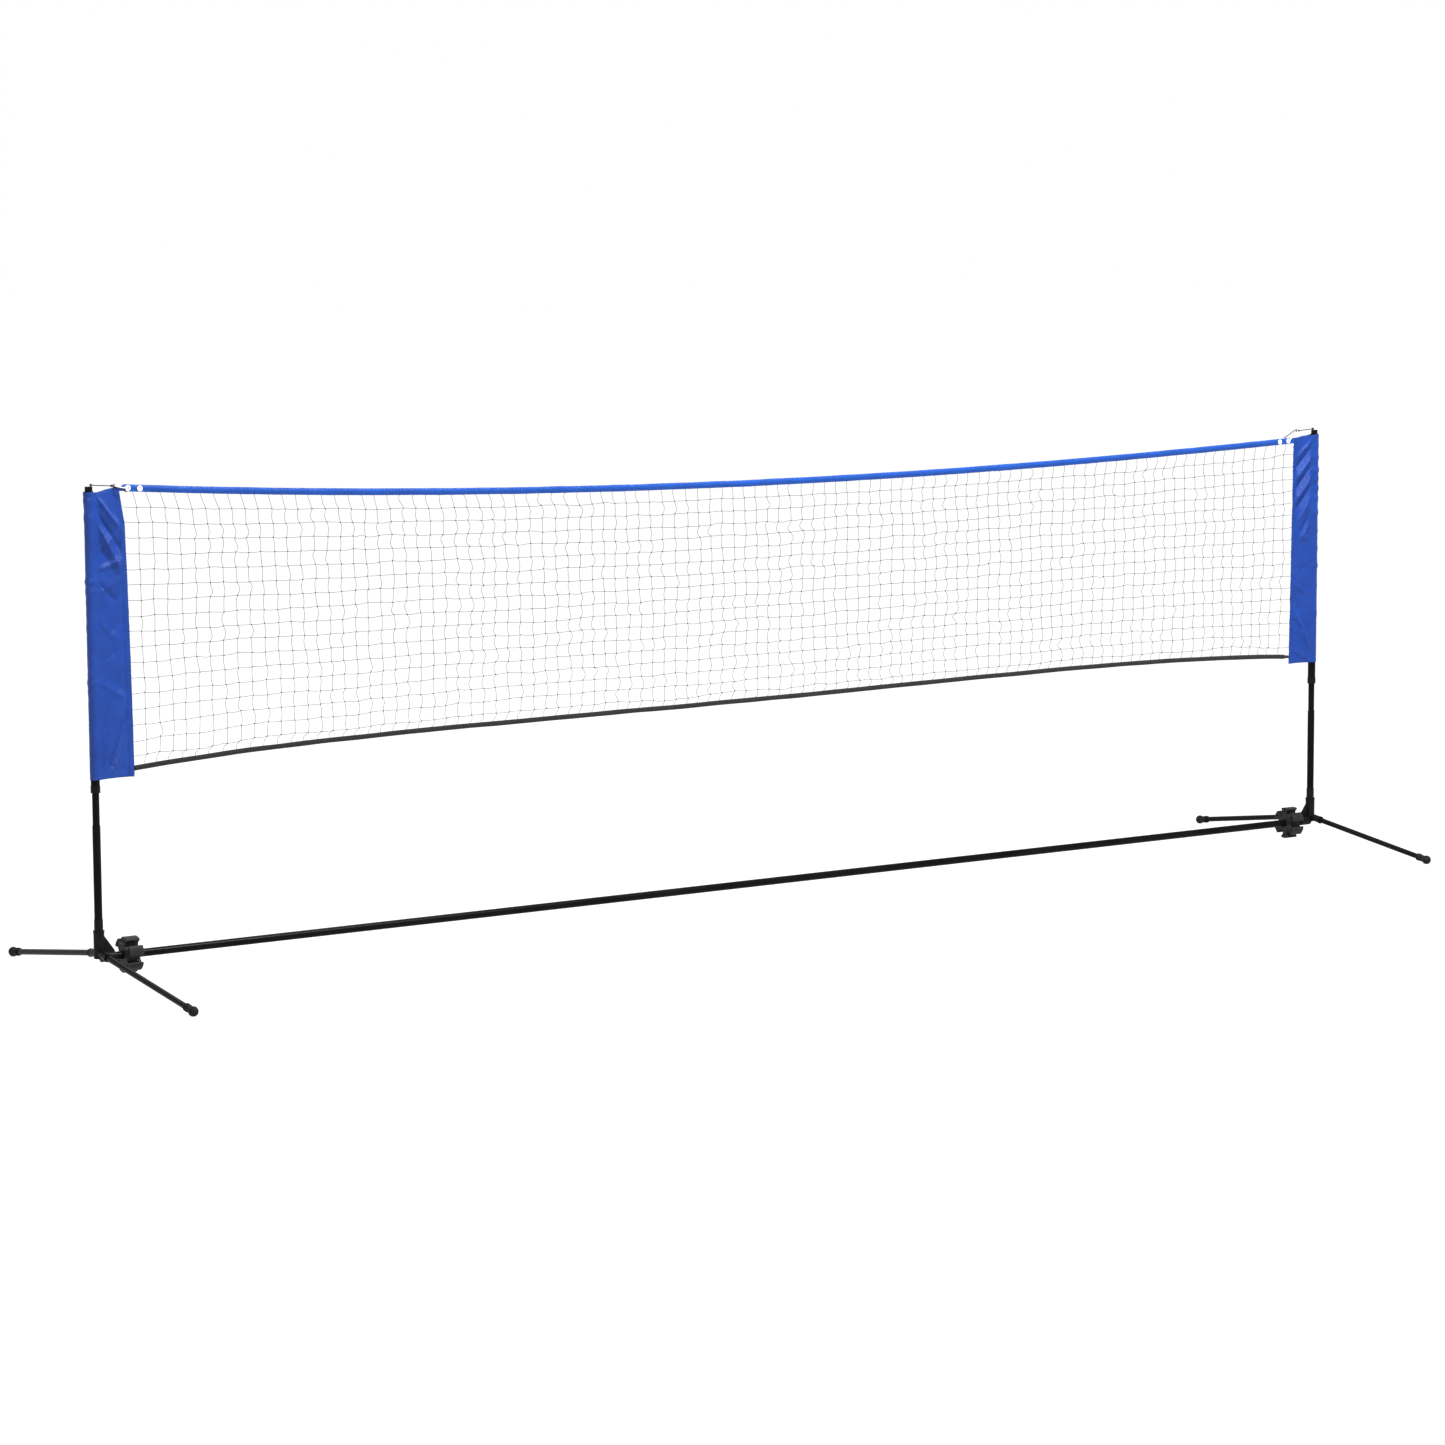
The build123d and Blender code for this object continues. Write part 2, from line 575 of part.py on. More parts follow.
def make_tie_cord(name, side):
    """Tie cord: an eye round the cap's hook, a straight run, a knot, an eye and a free end."""
    hook = Vector(HOOK_X, TIE_Z)
    eye = Vector(*LOOP_FAR)
    run = (eye - hook).normalized()
    hook_eye_r = HOOK_PIN_R + TIE_R + HOOK_EYE_GAP
    small_eye_r = LOOP_ROPE_R + TIE_R + LOOP_EYE_GAP
    knot = eye - run * (small_eye_r + KNOT_R - KNOT_OVERLAP)
    start = hook + run * hook_eye_r
    frame = standing(side)
    start_point = frame.from_local_coords((start.X, start.Y, 0))
    knot_point = frame.from_local_coords((knot.X, knot.Y, 0))
    eye_point = frame.from_local_coords((eye.X, eye.Y, 0))
    with BuildPart() as tie:
        with Locations(upright(side, TIE_Z)):
            with Locations((HOOK_X, 0, 0)):
                Torus(hook_eye_r, TIE_R)
        with BuildSketch(Plane(origin=start_point, z_dir=knot_point - start_point)):
            Circle(TIE_R)
        extrude(amount=(knot - start).length)
        with Locations(knot_point):
            Sphere(KNOT_R)
        with Locations(Plane(origin=eye_point, z_dir=(0, 1, 0))):
            Torus(small_eye_r, TIE_R)
        tail_points = [(side * (POST_X - x), y, z) for x, y, z in TIE_TAIL[name]]
        with BuildLine():
            tail = Spline(knot_point, *tail_points)
        with BuildSketch(Plane(origin=tail @ 0, z_dir=tail % 0)):
            Circle(TIE_R)
        sweep()
        with Locations(tail @ 1):
            Sphere(END_KNOT_R)
    save(tie, f"{name}_tie_cord")


for name, side in SIDES.items():
    make_sleeve(name, side)
    make_eyelets(name, side)
    make_rope_loop(name, side)
    make_tie_cord(name, side)
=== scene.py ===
import math
import random

import bpy
import numpy as np
from mathutils import Matrix, Vector, noise


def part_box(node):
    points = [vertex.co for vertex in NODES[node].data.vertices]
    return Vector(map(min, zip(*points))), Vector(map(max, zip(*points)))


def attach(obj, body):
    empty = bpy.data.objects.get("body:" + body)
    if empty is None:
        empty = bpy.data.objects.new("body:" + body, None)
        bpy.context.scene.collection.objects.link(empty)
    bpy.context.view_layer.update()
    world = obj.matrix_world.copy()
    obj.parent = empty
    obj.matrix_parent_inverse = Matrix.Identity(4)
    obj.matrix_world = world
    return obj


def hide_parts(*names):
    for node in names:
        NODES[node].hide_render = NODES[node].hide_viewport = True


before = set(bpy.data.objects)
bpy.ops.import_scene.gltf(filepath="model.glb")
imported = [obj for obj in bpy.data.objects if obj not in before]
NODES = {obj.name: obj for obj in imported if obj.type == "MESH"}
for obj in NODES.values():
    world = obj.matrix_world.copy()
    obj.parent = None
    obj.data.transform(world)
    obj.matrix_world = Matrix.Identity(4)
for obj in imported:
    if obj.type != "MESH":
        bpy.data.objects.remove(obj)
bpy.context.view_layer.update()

# Portable badminton net. X runs along the net, Y from front to back, Z up, all in metres.
MM = 0.001
SIDES = {"left": -1, "right": 1}

# ---- places, from the frame ----
TUBE_BOX = {name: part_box(f"{name}_upper_tube") for name in SIDES}
SLEEVE_BOX = {name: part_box(f"{name}_sleeve") for name in SIDES}
POST_X = (TUBE_BOX["right"][0].x + TUBE_BOX["right"][1].x) / 2
POST_R = (TUBE_BOX["right"][1].x - TUBE_BOX["right"][0].x) / 2
POST_TOP = TUBE_BOX["right"][1].z
TAPE_END_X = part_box("head_tape")[1].x

# ---- the net's lines: heights are HEIGHTS[n] * t**n summed, with t = x / CURVE_X ----
CURVE_X = 2.4
HEAD_HEIGHTS = (1.4575, -0.006, 0.0705, -0.008)
FOOT_HEIGHTS = (0.7195, 0.0215, 0.0285, 0.0, -0.060)
HEAD_TAPE_HEIGHT = 0.022
FOOT_TAPE_HEIGHT = 0.016
EYELET_X = (2.328, 2.369)
EYELET_BARREL_R = 0.0062

# ---- sleeves: width from the post axis at the bottom, middle and top ----
SLEEVE_WIDTH = {"left": (0.134, 0.128, 0.098), "right": (0.115, 0.1085, 0.102)}
SLEEVE_MID_Z = 1.090
SLEEVE_CORNER_Z = {"left": 1.544, "right": 1.523}
SLEEVE_HEM = 0.018
SLEEVE_SHOULDER_Z = 1.432  # above here the edge runs straight to the top corner
SLEEVE_SHOULDER = {"left": 0.119, "right": 0.1035}


def curve_z(heights, x):
    """Height at x of one of the net's lines."""
    t = x / CURVE_X
    return sum(h * t**n for n, h in enumerate(heights))


def head_z(x):
    return curve_z(HEAD_HEIGHTS, x)


def foot_z(x):
    return curve_z(FOOT_HEIGHTS, x)


def smooth(t):
    """Eases from 0 to 1, flat at both ends."""
    t = np.clip(t, 0.0, 1.0)
    return t * t * (3 - 2 * t)


# ================================================================ camera, light, floor
CAMERA_PLACE = Vector((-8.285, -11.984, 2.428))
CAMERA_YAW = math.radians(34.14)
CAMERA_PITCH = math.radians(7.0)
CAMERA_ROLL = math.radians(-0.30)
CAMERA_LENS = 107.2


def make_camera():
    data = bpy.data.cameras.new("camera")
    data.lens = CAMERA_LENS
    data.sensor_width = 36.0
    data.clip_end = 100.0
    camera = bpy.data.objects.new("camera", data)
    bpy.context.scene.collection.objects.link(camera)
    flat = math.cos(CAMERA_PITCH)
    forward = Vector((math.sin(CAMERA_YAW) * flat, math.cos(CAMERA_YAW) * flat, -math.sin(CAMERA_PITCH)))
    right = Vector((math.cos(CAMERA_YAW), -math.sin(CAMERA_YAW), 0))
    up = right.cross(forward)
    across = right * math.cos(CAMERA_ROLL) + up * math.sin(CAMERA_ROLL)
    above = up * math.cos(CAMERA_ROLL) - right * math.sin(CAMERA_ROLL)
    turn = Matrix((across, above, -forward)).transposed()
    camera.matrix_world = Matrix.Translation(CAMERA_PLACE) @ turn.to_4x4()
    bpy.context.scene.camera = camera


def add_area_light(name, place, target, size, power):
    data = bpy.data.lights.new(name, "AREA")
    data.shape = "RECTANGLE"
    data.size, data.size_y = size
    data.energy = power
    light = bpy.data.objects.new(name, data)
    light.location = place
    aim = Vector(target) - Vector(place)
    light.rotation_euler = aim.to_track_quat("-Z", "Y").to_euler()
    bpy.context.scene.collection.objects.link(light)


def make_studio():
    """Pale floor, white walls under a dimmer ceiling, and three large soft lights."""
    bpy.context.scene.view_settings.view_transform = "Standard"
    world = bpy.data.worlds.new("studio")
    world.use_nodes = True
    nodes, links = world.node_tree.nodes, world.node_tree.links
    place = nodes.new("ShaderNodeTexCoord")
    height = nodes.new("ShaderNodeSeparateXYZ")
    ceiling = nodes.new("ShaderNodeValToRGB")
    walls, dim = ceiling.color_ramp.elements
    walls.position, walls.color = 0.56, (1, 1, 1, 1)
    dim.position, dim.color = 0.68, (0.22, 0.22, 0.22, 1)
    links.new(place.outputs["Generated"], height.inputs["Vector"])
    links.new(height.outputs["Z"], ceiling.inputs["Fac"])
    links.new(ceiling.outputs["Color"], nodes["Background"].inputs["Color"])
    nodes["Background"].inputs["Strength"].default_value = 1.0
    bpy.context.scene.world = world
    mesh = bpy.data.meshes.new("floor")
    half = 60.0
    corners = [(-half, -half, 0), (half, -half, 0), (half, half, 0), (-half, half, 0)]
    mesh.from_pydata(corners, [], [(0, 1, 2, 3)])
    floor = bpy.data.objects.new("floor", mesh)
    floor.location.z = -0.0005
    bpy.context.scene.collection.objects.link(floor)
    material = bpy.data.materials.new("floor")
    material.use_nodes = True
    shader = material.node_tree.nodes["Principled BSDF"]
    shader.inputs["Base Color"].default_value = (0.12, 0.12, 0.12, 1)
    shader.inputs["Roughness"].default_value = 0.9
    shader.inputs["Emission Color"].default_value = (1, 1, 1, 1)
    shader.inputs["Emission Strength"].default_value = 0.92
    mesh.materials.append(material)
    add_area_light("key", (0.8, -3.4, 7.0), (0, 0, 0.9), (3.0, 1.0), 1150)
    add_area_light("fill", (-7.0, -5.0, 3.0), (-1.5, 0, 0.8), (3.0, 3.0), 70)
    add_area_light("back", (0.0, 5.0, 6.0), (0, 0, 0.5), (8.0, 3.0), 160)


# ================================================================ materials
class Shader:
    """A Principled material that is built from nodes step by step."""

    def __init__(self, name, roughness, **values):
        self.material = bpy.data.materials.new(name)
        self.material.use_nodes = True
        self.nodes = self.material.node_tree.nodes
        self.links = self.material.node_tree.links
        self.bsdf = self.nodes["Principled BSDF"]
        self.bsdf.inputs["Roughness"].default_value = roughness
        for key, value in values.items():
            self.bsdf.inputs[key.replace("_", " ")].default_value = value
        self.bump_end = None

    def node(self, kind, settings=None, **inputs):
        made = self.nodes.new(kind)
        for key, value in (settings or {}).items():
            setattr(made, key, value)
        for key, value in inputs.items():
            socket = made.inputs[key.replace("_", " ")]
            if isinstance(value, bpy.types.NodeSocket):
                self.links.new(value, socket)
            else:
                socket.default_value = value
        return made

    def place(self, kind="Object", scale=(1, 1, 1)):
        """Texture coordinates, stretched by scale."""
        source = self.node("ShaderNodeTexCoord")
        mapping = self.node("ShaderNodeMapping", Vector=source.outputs[kind])
        mapping.inputs["Scale"].default_value = scale
        return mapping.outputs["Vector"]

    def noise(self, vector, scale, detail=3.0, rough=0.5):
        made = self.node("ShaderNodeTexNoise", Vector=vector, Scale=scale, Detail=detail, Roughness=rough)
        return made.outputs["Fac"]

    def wave(self, vector, scale, distortion=0.0, direction="X", profile="SIN"):
        settings = {"wave_type": "BANDS", "bands_direction": direction, "wave_profile": profile}
        made = self.node("ShaderNodeTexWave", settings, Vector=vector, Scale=scale, Distortion=distortion)
        return made.outputs["Fac"]

    def ramp(self, factor, stops):
        """Colours at places between 0 and 1."""
        made = self.node("ShaderNodeValToRGB", Fac=factor)
        elements = made.color_ramp.elements
        while len(elements) < len(stops):
            elements.new(0.5)
        for element, (position, colour) in zip(elements, stops):
            element.position = position
            element.color = (*colour, 1.0)
        return made.outputs["Color"]

    def spread(self, factor, low, high):
        """Maps 0..1 to low..high."""
        made = self.node("ShaderNodeMapRange", Value=factor)
        made.inputs["To Min"].default_value = low
        made.inputs["To Max"].default_value = high
        return made.outputs["Result"]

    def maths(self, operation, a, b):
        made = self.node("ShaderNodeMath", {"operation": operation})
        for socket, value in zip(made.inputs, (a, b)):
            if isinstance(value, bpy.types.NodeSocket):
                self.links.new(value, socket)
            else:
                socket.default_value = value
        return made.outputs["Value"]

    def colour(self, socket):
        self.links.new(socket, self.bsdf.inputs["Base Color"])

    def roughness(self, socket):
        self.links.new(socket, self.bsdf.inputs["Roughness"])

    def bump(self, height, distance, strength=1.0):
        """Adds one more layer of bump."""
        made = self.node("ShaderNodeBump", Height=height, Distance=distance, Strength=strength)
        if self.bump_end is not None:
            self.links.new(self.bump_end, made.inputs["Normal"])
        self.bump_end = made.outputs["Normal"]
        self.links.new(self.bump_end, self.bsdf.inputs["Normal"])


def powder_coat(name, along):
    """Satin black powder coat on tube, with faint handling scratches along the tube."""
    s = Shader(name, 0.34, Specular_IOR_Level=0.05)
    stretch = {"X": (1.5, 60, 60), "Y": (60, 1.5, 60), "Z": (60, 60, 1.5)}[along]
    scratches = s.noise(s.place(scale=stretch), 18.0, 4.0, 0.6)
    patches = s.noise(s.place(), 7.0, 3.0)
    s.colour(s.ramp(patches, [(0.3, (0.0016, 0.0016, 0.0015)), (0.7, (0.0038, 0.0038, 0.0034))]))
    s.roughness(s.spread(s.maths("MULTIPLY", scratches, patches), 0.26, 0.52))
    s.bump(s.noise(s.place(), 900.0, 2.0), 0.00006)
    s.bump(scratches, 0.00004)
    return s.material


def moulding(name, low, high, roughness):
    """Moulded plastic with a fine spark-eroded grain and slightly polished high spots."""
    s = Shader(name, roughness, Specular_IOR_Level=0.10)
    grain = s.noise(s.place(), 1600.0, 2.0)
    cloud = s.noise(s.place(), 24.0, 4.0)
    s.colour(s.ramp(cloud, [(0.3, low), (0.72, high)]))
    s.roughness(s.spread(cloud, roughness - 0.08, roughness + 0.10))
    s.bump(grain, 0.00012)
    s.bump(cloud, 0.0003)
    return s.material


def rubber(name):
    s = Shader(name, 0.72, Specular_IOR_Level=0.15)
    dust = s.noise(s.place(), 60.0, 5.0, 0.65)
    s.colour(s.ramp(dust, [(0.35, (0.004, 0.004, 0.004)), (0.68, (0.010, 0.0098, 0.0095))]))
    s.roughness(s.spread(dust, 0.62, 0.88))
    s.bump(s.noise(s.place(), 700.0, 3.0), 0.00018)
    return s.material


def woven(name, low, high, thread, sheen, roughness, tint):
    """Plain-weave cloth: u runs along the weft and v along the warp, both in metres."""
    s = Shader(name, roughness, Specular_IOR_Level=0.26, Sheen_Weight=sheen, Sheen_Roughness=0.35)
    s.bsdf.inputs["Sheen Tint"].default_value = (*tint, 1.0)
    uv = s.place("UV")
    bands = 1.0 / (thread * 20.0)  # a wave texture has 20 bands a metre at scale 1 over 2 pi
    turns = bands * 2 * math.pi
    weft = s.wave(uv, turns, direction="X")
    warp = s.wave(uv, turns, direction="Y")
    weave = s.maths("MULTIPLY", weft, warp)
    cloud = s.noise(uv, 9.0, 4.0, 0.6)
    tone = s.maths("ADD", s.maths("MULTIPLY", weave, 0.25), s.maths("MULTIPLY", cloud, 0.75))
    s.colour(s.ramp(tone, [(0.25, low), (0.75, high)]))
    s.roughness(s.spread(weave, roughness - 0.05, roughness + 0.10))
    s.bump(s.maths("ADD", weft, warp), thread * 0.20)
    s.bump(s.noise(uv, 160.0, 3.0), 0.00035)
    return s.material


def twisted(name, low, high, lay, roughness, sheen):
    """Twisted twine: strands wind round it; u goes round once and v runs along in metres."""
    s = Shader(name, roughness)
    s.bsdf.inputs["Sheen Weight"].default_value = sheen
    strands = s.wave(s.place("UV", (1.0, 1.0 / lay, 1.0)), 2.0, direction="DIAGONAL")
    fibres = s.noise(s.place(), 1400.0, 3.0)
    tone = s.maths("ADD", s.maths("MULTIPLY", strands, 0.55), s.maths("MULTIPLY", fibres, 0.45))
    s.colour(s.ramp(tone, [(0.3, low), (0.75, high)]))
    s.bump(strands, 0.0004)
    s.bump(fibres, 0.0001)
    return s.material


def braided(name, low, high, pitch, roughness):
    """Braided cord: two sets of strands cross; u goes round once and v runs along in metres."""
    s = Shader(name, roughness, Specular_IOR_Level=0.3, Sheen_Weight=0.05)
    one = s.wave(s.place("UV", (1.0, 1.0 / pitch, 1.0)), 1.6, direction="DIAGONAL")
    other = s.wave(s.place("UV", (-1.0, 1.0 / pitch, 1.0)), 1.6, direction="DIAGONAL")
    plait = s.maths("MAXIMUM", one, other)
    fibres = s.noise(s.place(), 1800.0, 3.0)
    tone = s.maths("ADD", s.maths("MULTIPLY", plait, 0.6), s.maths("MULTIPLY", fibres, 0.4))
    s.colour(s.ramp(tone, [(0.3, low), (0.8, high)]))
    s.bump(plait, 0.0006)
    s.bump(fibres, 0.00012)
    return s.material


def glossy_plastic(name):
    s = Shader(name, 0.28)
    cloud = s.noise(s.place(), 90.0, 3.0)
    s.colour(s.ramp(cloud, [(0.3, (0.78, 0.78, 0.75)), (0.7, (0.88, 0.88, 0.86))]))
    s.roughness(s.spread(cloud, 0.22, 0.40))
    s.bump(cloud, 0.0002)
    return s.material


def make_materials():
    black = (0.0018, 0.0018, 0.0017)
    return {
        "tube_x": powder_coat("powder_coat_x", "X"),
        "tube_y": powder_coat("powder_coat_y", "Y"),
        "tube_z": powder_coat("powder_coat_z", "Z"),
        "moulding": moulding("black_moulding", black, (0.0046, 0.0046, 0.0042), 0.46),
        "clip": moulding("clip_moulding", (0.011, 0.0113, 0.011), (0.020, 0.0203, 0.0192), 0.50),
        "rubber": rubber("foot_rubber"),
        "nylon": woven(
            "blue_nylon", (0.0015, 0.026, 0.185), (0.004, 0.046, 0.280), 0.00055, 0.05, 0.38, (0.2, 0.4, 1.0)
        ),
        "hem": woven(
            "black_tape", (0.006, 0.006, 0.007), (0.015, 0.015, 0.016), 0.0011, 0.10, 0.72, (1, 1, 1)
        ),
        "thread": twisted("blue_thread", (0.004, 0.014, 0.100), (0.008, 0.030, 0.190), 0.0012, 0.5, 0.2),
        "black_thread": twisted("black_thread", black, (0.02, 0.02, 0.02), 0.0012, 0.6, 0.1),
        "twine": twisted("net_twine", (0.008, 0.008, 0.009), (0.026, 0.025, 0.024), 0.0024, 0.78, 0.05),
        "tape": woven(
            "blue_tape", (0.002, 0.042, 0.250), (0.005, 0.070, 0.370), 0.00055, 0.05, 0.38, (0.2, 0.4, 1.0)
        ),
        "rope": braided("white_braid", (0.58, 0.57, 0.54), (0.86, 0.85, 0.82), 0.005, 0.70),
        "tie": braided("black_braid", black, (0.010, 0.010, 0.010), 0.004, 0.62),
        "eyelet": glossy_plastic("white_eyelet"),
    }


# ================================================================ mesh helpers
def new_piece(name, vertices, faces, material, uvs=None, smooth_shade=True):
    """A mesh object. uvs holds one pair for each vertex, or one for each face corner."""
    mesh = bpy.data.meshes.new(name)
    mesh.from_pydata([tuple(v) for v in vertices], [], [tuple(f) for f in faces])
    if uvs is not None:
        layer = mesh.uv_layers.new(name="UVMap")
        corner = np.zeros(len(mesh.loops), np.int32)
        mesh.loops.foreach_get("vertex_index", corner)
        table = np.asarray(uvs, float)
        flat = table[corner] if len(table) == len(mesh.vertices) else table
        layer.data.foreach_set("uv", flat.astype(np.float32).ravel())
    mesh.polygons.foreach_set("use_smooth", [smooth_shade] * len(mesh.polygons))
    mesh.materials.append(material)
    mesh.update()
    piece = bpy.data.objects.new(name, mesh)
    bpy.context.scene.collection.objects.link(piece)
    return piece


def grid_faces(rows, columns, wrap, start=0):
    """Quads between rows of columns points. wrap joins each row's ends."""
    across = columns if wrap else columns - 1
    r, c = np.meshgrid(np.arange(rows - 1), np.arange(across), indexing="ij")
    n = (c + 1) % columns
    quads = np.stack([r * columns + c, r * columns + n, (r + 1) * columns + n, (r + 1) * columns + c], -1)
    return quads.reshape(-1, 4) + start


class Tubes:
    """Collects round tubes that follow lines of points, as one mesh."""

    def __init__(self, sides):
        self.sides = sides
        self.points, self.faces, self.uvs, self.count = [], [], [], 0

    def add(self, line, radius, side=(0, 1, 0), capped=True):
        line = np.asarray(line, float)
        along = np.gradient(line, axis=0)
        along /= np.linalg.norm(along, axis=1)[:, None]
        first = np.cross(along, np.asarray(side, float))
        first /= np.maximum(np.linalg.norm(first, axis=1)[:, None], 1e-9)
        second = np.cross(along, first)
        turn = np.arange(self.sides) * 2 * math.pi / self.sides
        ring = first[:, None] * np.cos(turn)[None, :, None] + second[:, None] * np.sin(turn)[None, :, None]
        radii = np.broadcast_to(np.asarray(radius, float), (len(line),))
        self.points.append((line[:, None] + ring * radii[:, None, None]).reshape(-1, 3))
        step = np.linalg.norm(np.diff(line, axis=0), axis=1)
        run = np.concatenate([[0], np.cumsum(step)])
        u = np.tile(np.arange(self.sides) / self.sides, len(line))
        self.uvs.append(np.stack([u, np.repeat(run, self.sides)], 1))
        self.faces += grid_faces(len(line), self.sides, True, self.count).tolist()
        last = self.count + (len(line) - 1) * self.sides
        if capped:
            self.faces.append([self.count + k for k in reversed(range(self.sides))])
            self.faces.append([last + k for k in range(self.sides)])
        self.count += len(line) * self.sides

    def piece(self, name, material):
        return new_piece(name, np.concatenate(self.points), self.faces, material, np.concatenate(self.uvs))


def thicken(piece, thickness, offset=0.0):
    solid = piece.modifiers.new("cloth_thickness", "SOLIDIFY")
    solid.thickness = thickness
    solid.offset = offset
    solid.use_even_offset = False


# ================================================================ sleeves
# Each fold runs from (share of the width from the post, share of the height from the top)
# to a second such point, and is height and width millimetres at its middle.
FOLDS = {
    "left": [
        (0.10, 0.000, 0.95, 0.150, 9.5, 9),
        (0.06, 0.045, 0.95, 0.225, -8.5, 9),
        (0.05, 0.085, 0.90, 0.295, 10.0, 10),
        (0.05, 0.150, 0.60, 0.270, -4.5, 9),
        (0.04, 0.215, 0.75, 0.150, 4.5, 8),
        (0.04, 0.275, 0.90, 0.235, 8.0, 8),
        (0.04, 0.300, 0.70, 0.390, -5.0, 9),
        (0.06, 0.360, 0.85, 0.300, 4.5, 9),
        (0.05, 0.440, 0.75, 0.530, 4.0, 11),
        (0.10, 0.520, 0.90, 0.450, -3.0, 10),
        (0.05, 0.600, 0.70, 0.550, -3.5, 10),
        (0.05, 0.655, 0.90, 0.730, 4.0, 11),
        (0.08, 0.995, 0.80, 0.700, 7.0, 10),
        (0.05, 0.880, 0.70, 0.640, -5.0, 11),
        (0.40, 1.000, 0.97, 0.800, 5.5, 9),
        (0.28, 0.995, 0.92, 0.750, -5.0, 7),
    ],
    "right": [
        (0.04, 0.000, 0.95, 0.110, 7.0, 8),
        (0.04, 0.035, 0.95, 0.160, -6.5, 8),
        (0.04, 0.070, 0.97, 0.205, 8.0, 9),
        (0.05, 0.115, 0.95, 0.255, -7.0, 9),
        (0.04, 0.155, 0.97, 0.305, 8.5, 9),
        (0.04, 0.200, 0.90, 0.340, -6.0, 9),
        (0.05, 0.235, 0.80, 0.390, 5.5, 9),
        (0.05, 0.300, 0.70, 0.440, -4.5, 9),
        (0.04, 0.345, 0.75, 0.480, 4.5, 10),
        (0.08, 0.470, 0.80, 0.430, 3.0, 9),
        (0.05, 0.560, 0.75, 0.600, -3.5, 10),
        (0.30, 0.700, 0.95, 0.640, 4.0, 10),
        (0.04, 0.985, 0.92, 0.740, 8.0, 8),
        (0.04, 0.910, 0.88, 0.690, -5.5, 11),
        (0.10, 1.000, 0.95, 0.930, 5.0, 8),
        (0.35, 0.870, 0.97, 0.800, -3.5, 8),
    ],
}
# Bunching along the post: share of the height from the top, then how far it stands out in mm.
BUNCHES = {
    "left": [(0.035, 1.6), (0.09, 1.2), (0.31, 2.6), (0.345, 1.2), (0.47, 1.0), (0.66, 2.2), (0.69, 0.9)],
    "right": [
        (0.05, 1.5), (0.10, 2.0), (0.155, 3.6), (0.195, 2.4), (0.235, 2.8), (0.28, 2.0), (0.34, 2.2),
        (0.42, 1.2), (0.50, 1.6), (0.575, 2.8), (0.66, 1.0), (0.78, 1.2),
    ],
}
SLEEVE_AROUND = 168
SLEEVE_ROWS = 300
SLEEVE_CLEARANCE = 0.0007
CLOTH_THICKNESS = 0.0005
THREAD_R = 0.00024
STITCH_PITCH = 0.0034  # along a sleeve's hems
STITCH_LIFT = 0.00042  # how far a stitch stands off the cloth, and its ends sink in
STITCH_DIVE = 0.0004
TOP_HEM = 0.0125  # depth of the top and bottom hems
BOTTOM_HEM = 0.010
BUNCH_HEIGHT = 0.011  # of each bunch round the post, as a share of the sleeve's height
HEM_SEAMS = (0.003, 0.0155)  # the inner hem's two seams, from its edge
TOP_SEAM = 0.0105  # the top and bottom seams, from the cloth's edges
BOTTOM_SEAM = 0.0085


def sleeve_width(name, z):
    """Distance from the post axis to the sleeve's inner edge: an arc, then a straight run."""
    low, middle, top = SLEEVE_WIDTH[name]
    heights = (SLEEVE_BOX[name][0].z, SLEEVE_MID_Z, SLEEVE_SHOULDER_Z)
    widths = (low, middle, SLEEVE_SHOULDER[name])
    arc = 0.0
    for i, zi in enumerate(heights):
        term = widths[i]
        for k, zk in enumerate(heights):
            if k != i:
                term = term * (z - zk) / (zi - zk)
        arc = arc + term
    share = (z - SLEEVE_SHOULDER_Z) / (SLEEVE_CORNER_Z[name] - SLEEVE_SHOULDER_Z)
    straight = SLEEVE_SHOULDER[name] + (top - SLEEVE_SHOULDER[name]) * share
    corner = smooth(share * 5 + 0.5)
    return arc * (1 - corner) + straight * corner


def fold_height(name, share, drop):
    """Sideways height of the sleeve's folds, in metres."""
    total = np.zeros_like(share)
    wide = 0.11
    tall = 0.87
    for a0, h0, a1, h1, height, width in FOLDS[name]:
        start = np.array([a0 * wide, h0 * tall])
        run = np.array([a1 * wide, h1 * tall]) - start
        length = np.linalg.norm(run)
        run /= length
        p = np.stack([share * wide - start[0], drop * tall - start[1]], -1)
        along = p @ run / length
        away = p @ np.array([-run[1], run[0]])
        grow = 0.55 + 0.9 * np.clip(along, 0, 1)
        profile = np.exp(-(np.abs(away / (width * MM * grow)) ** 1.5))
        ends = smooth((along + 0.10) / 0.35) * smooth((1.12 - along) / 0.40)
        total += height * MM * profile * ends
    return total


def cloth_noise(points, scale, seed):
    """Smooth noise at each point."""
    shift = Vector((seed * 3.7, seed * 1.3, seed * 5.1))
    return np.array([noise.noise(Vector(p) * scale + shift) for p in points])


def section_line(width, hem):
    """Plan of the sleeve's cloth: round the post, then two layers that close at the hem."""
    r = POST_R + SLEEVE_CLEARANCE
    gap = 0.0009
    far = width - hem
    tangent = math.acos((r - gap) / far)
    half = [(width, -gap * 0.4), (width - 0.002, -gap), (far + 0.001, -gap), (far - 0.001, -gap * 0.6)]
    lead = np.linspace(0, 1, 30)[1:]
    touch = (r * math.cos(tangent), -r * math.sin(tangent))
    flat = [
        (far - 0.001 + (touch[0] - far + 0.001) * t, -gap * 0.6 + (touch[1] + gap * 0.6) * t) for t in lead
    ]
    arc = [(r * math.cos(t), -r * math.sin(t)) for t in np.linspace(tangent, math.pi, 20)[1:]]
    front = np.array(half + flat + arc)
    back = front[::-1][1:] * np.array([1, -1])
    return np.concatenate([front, back])


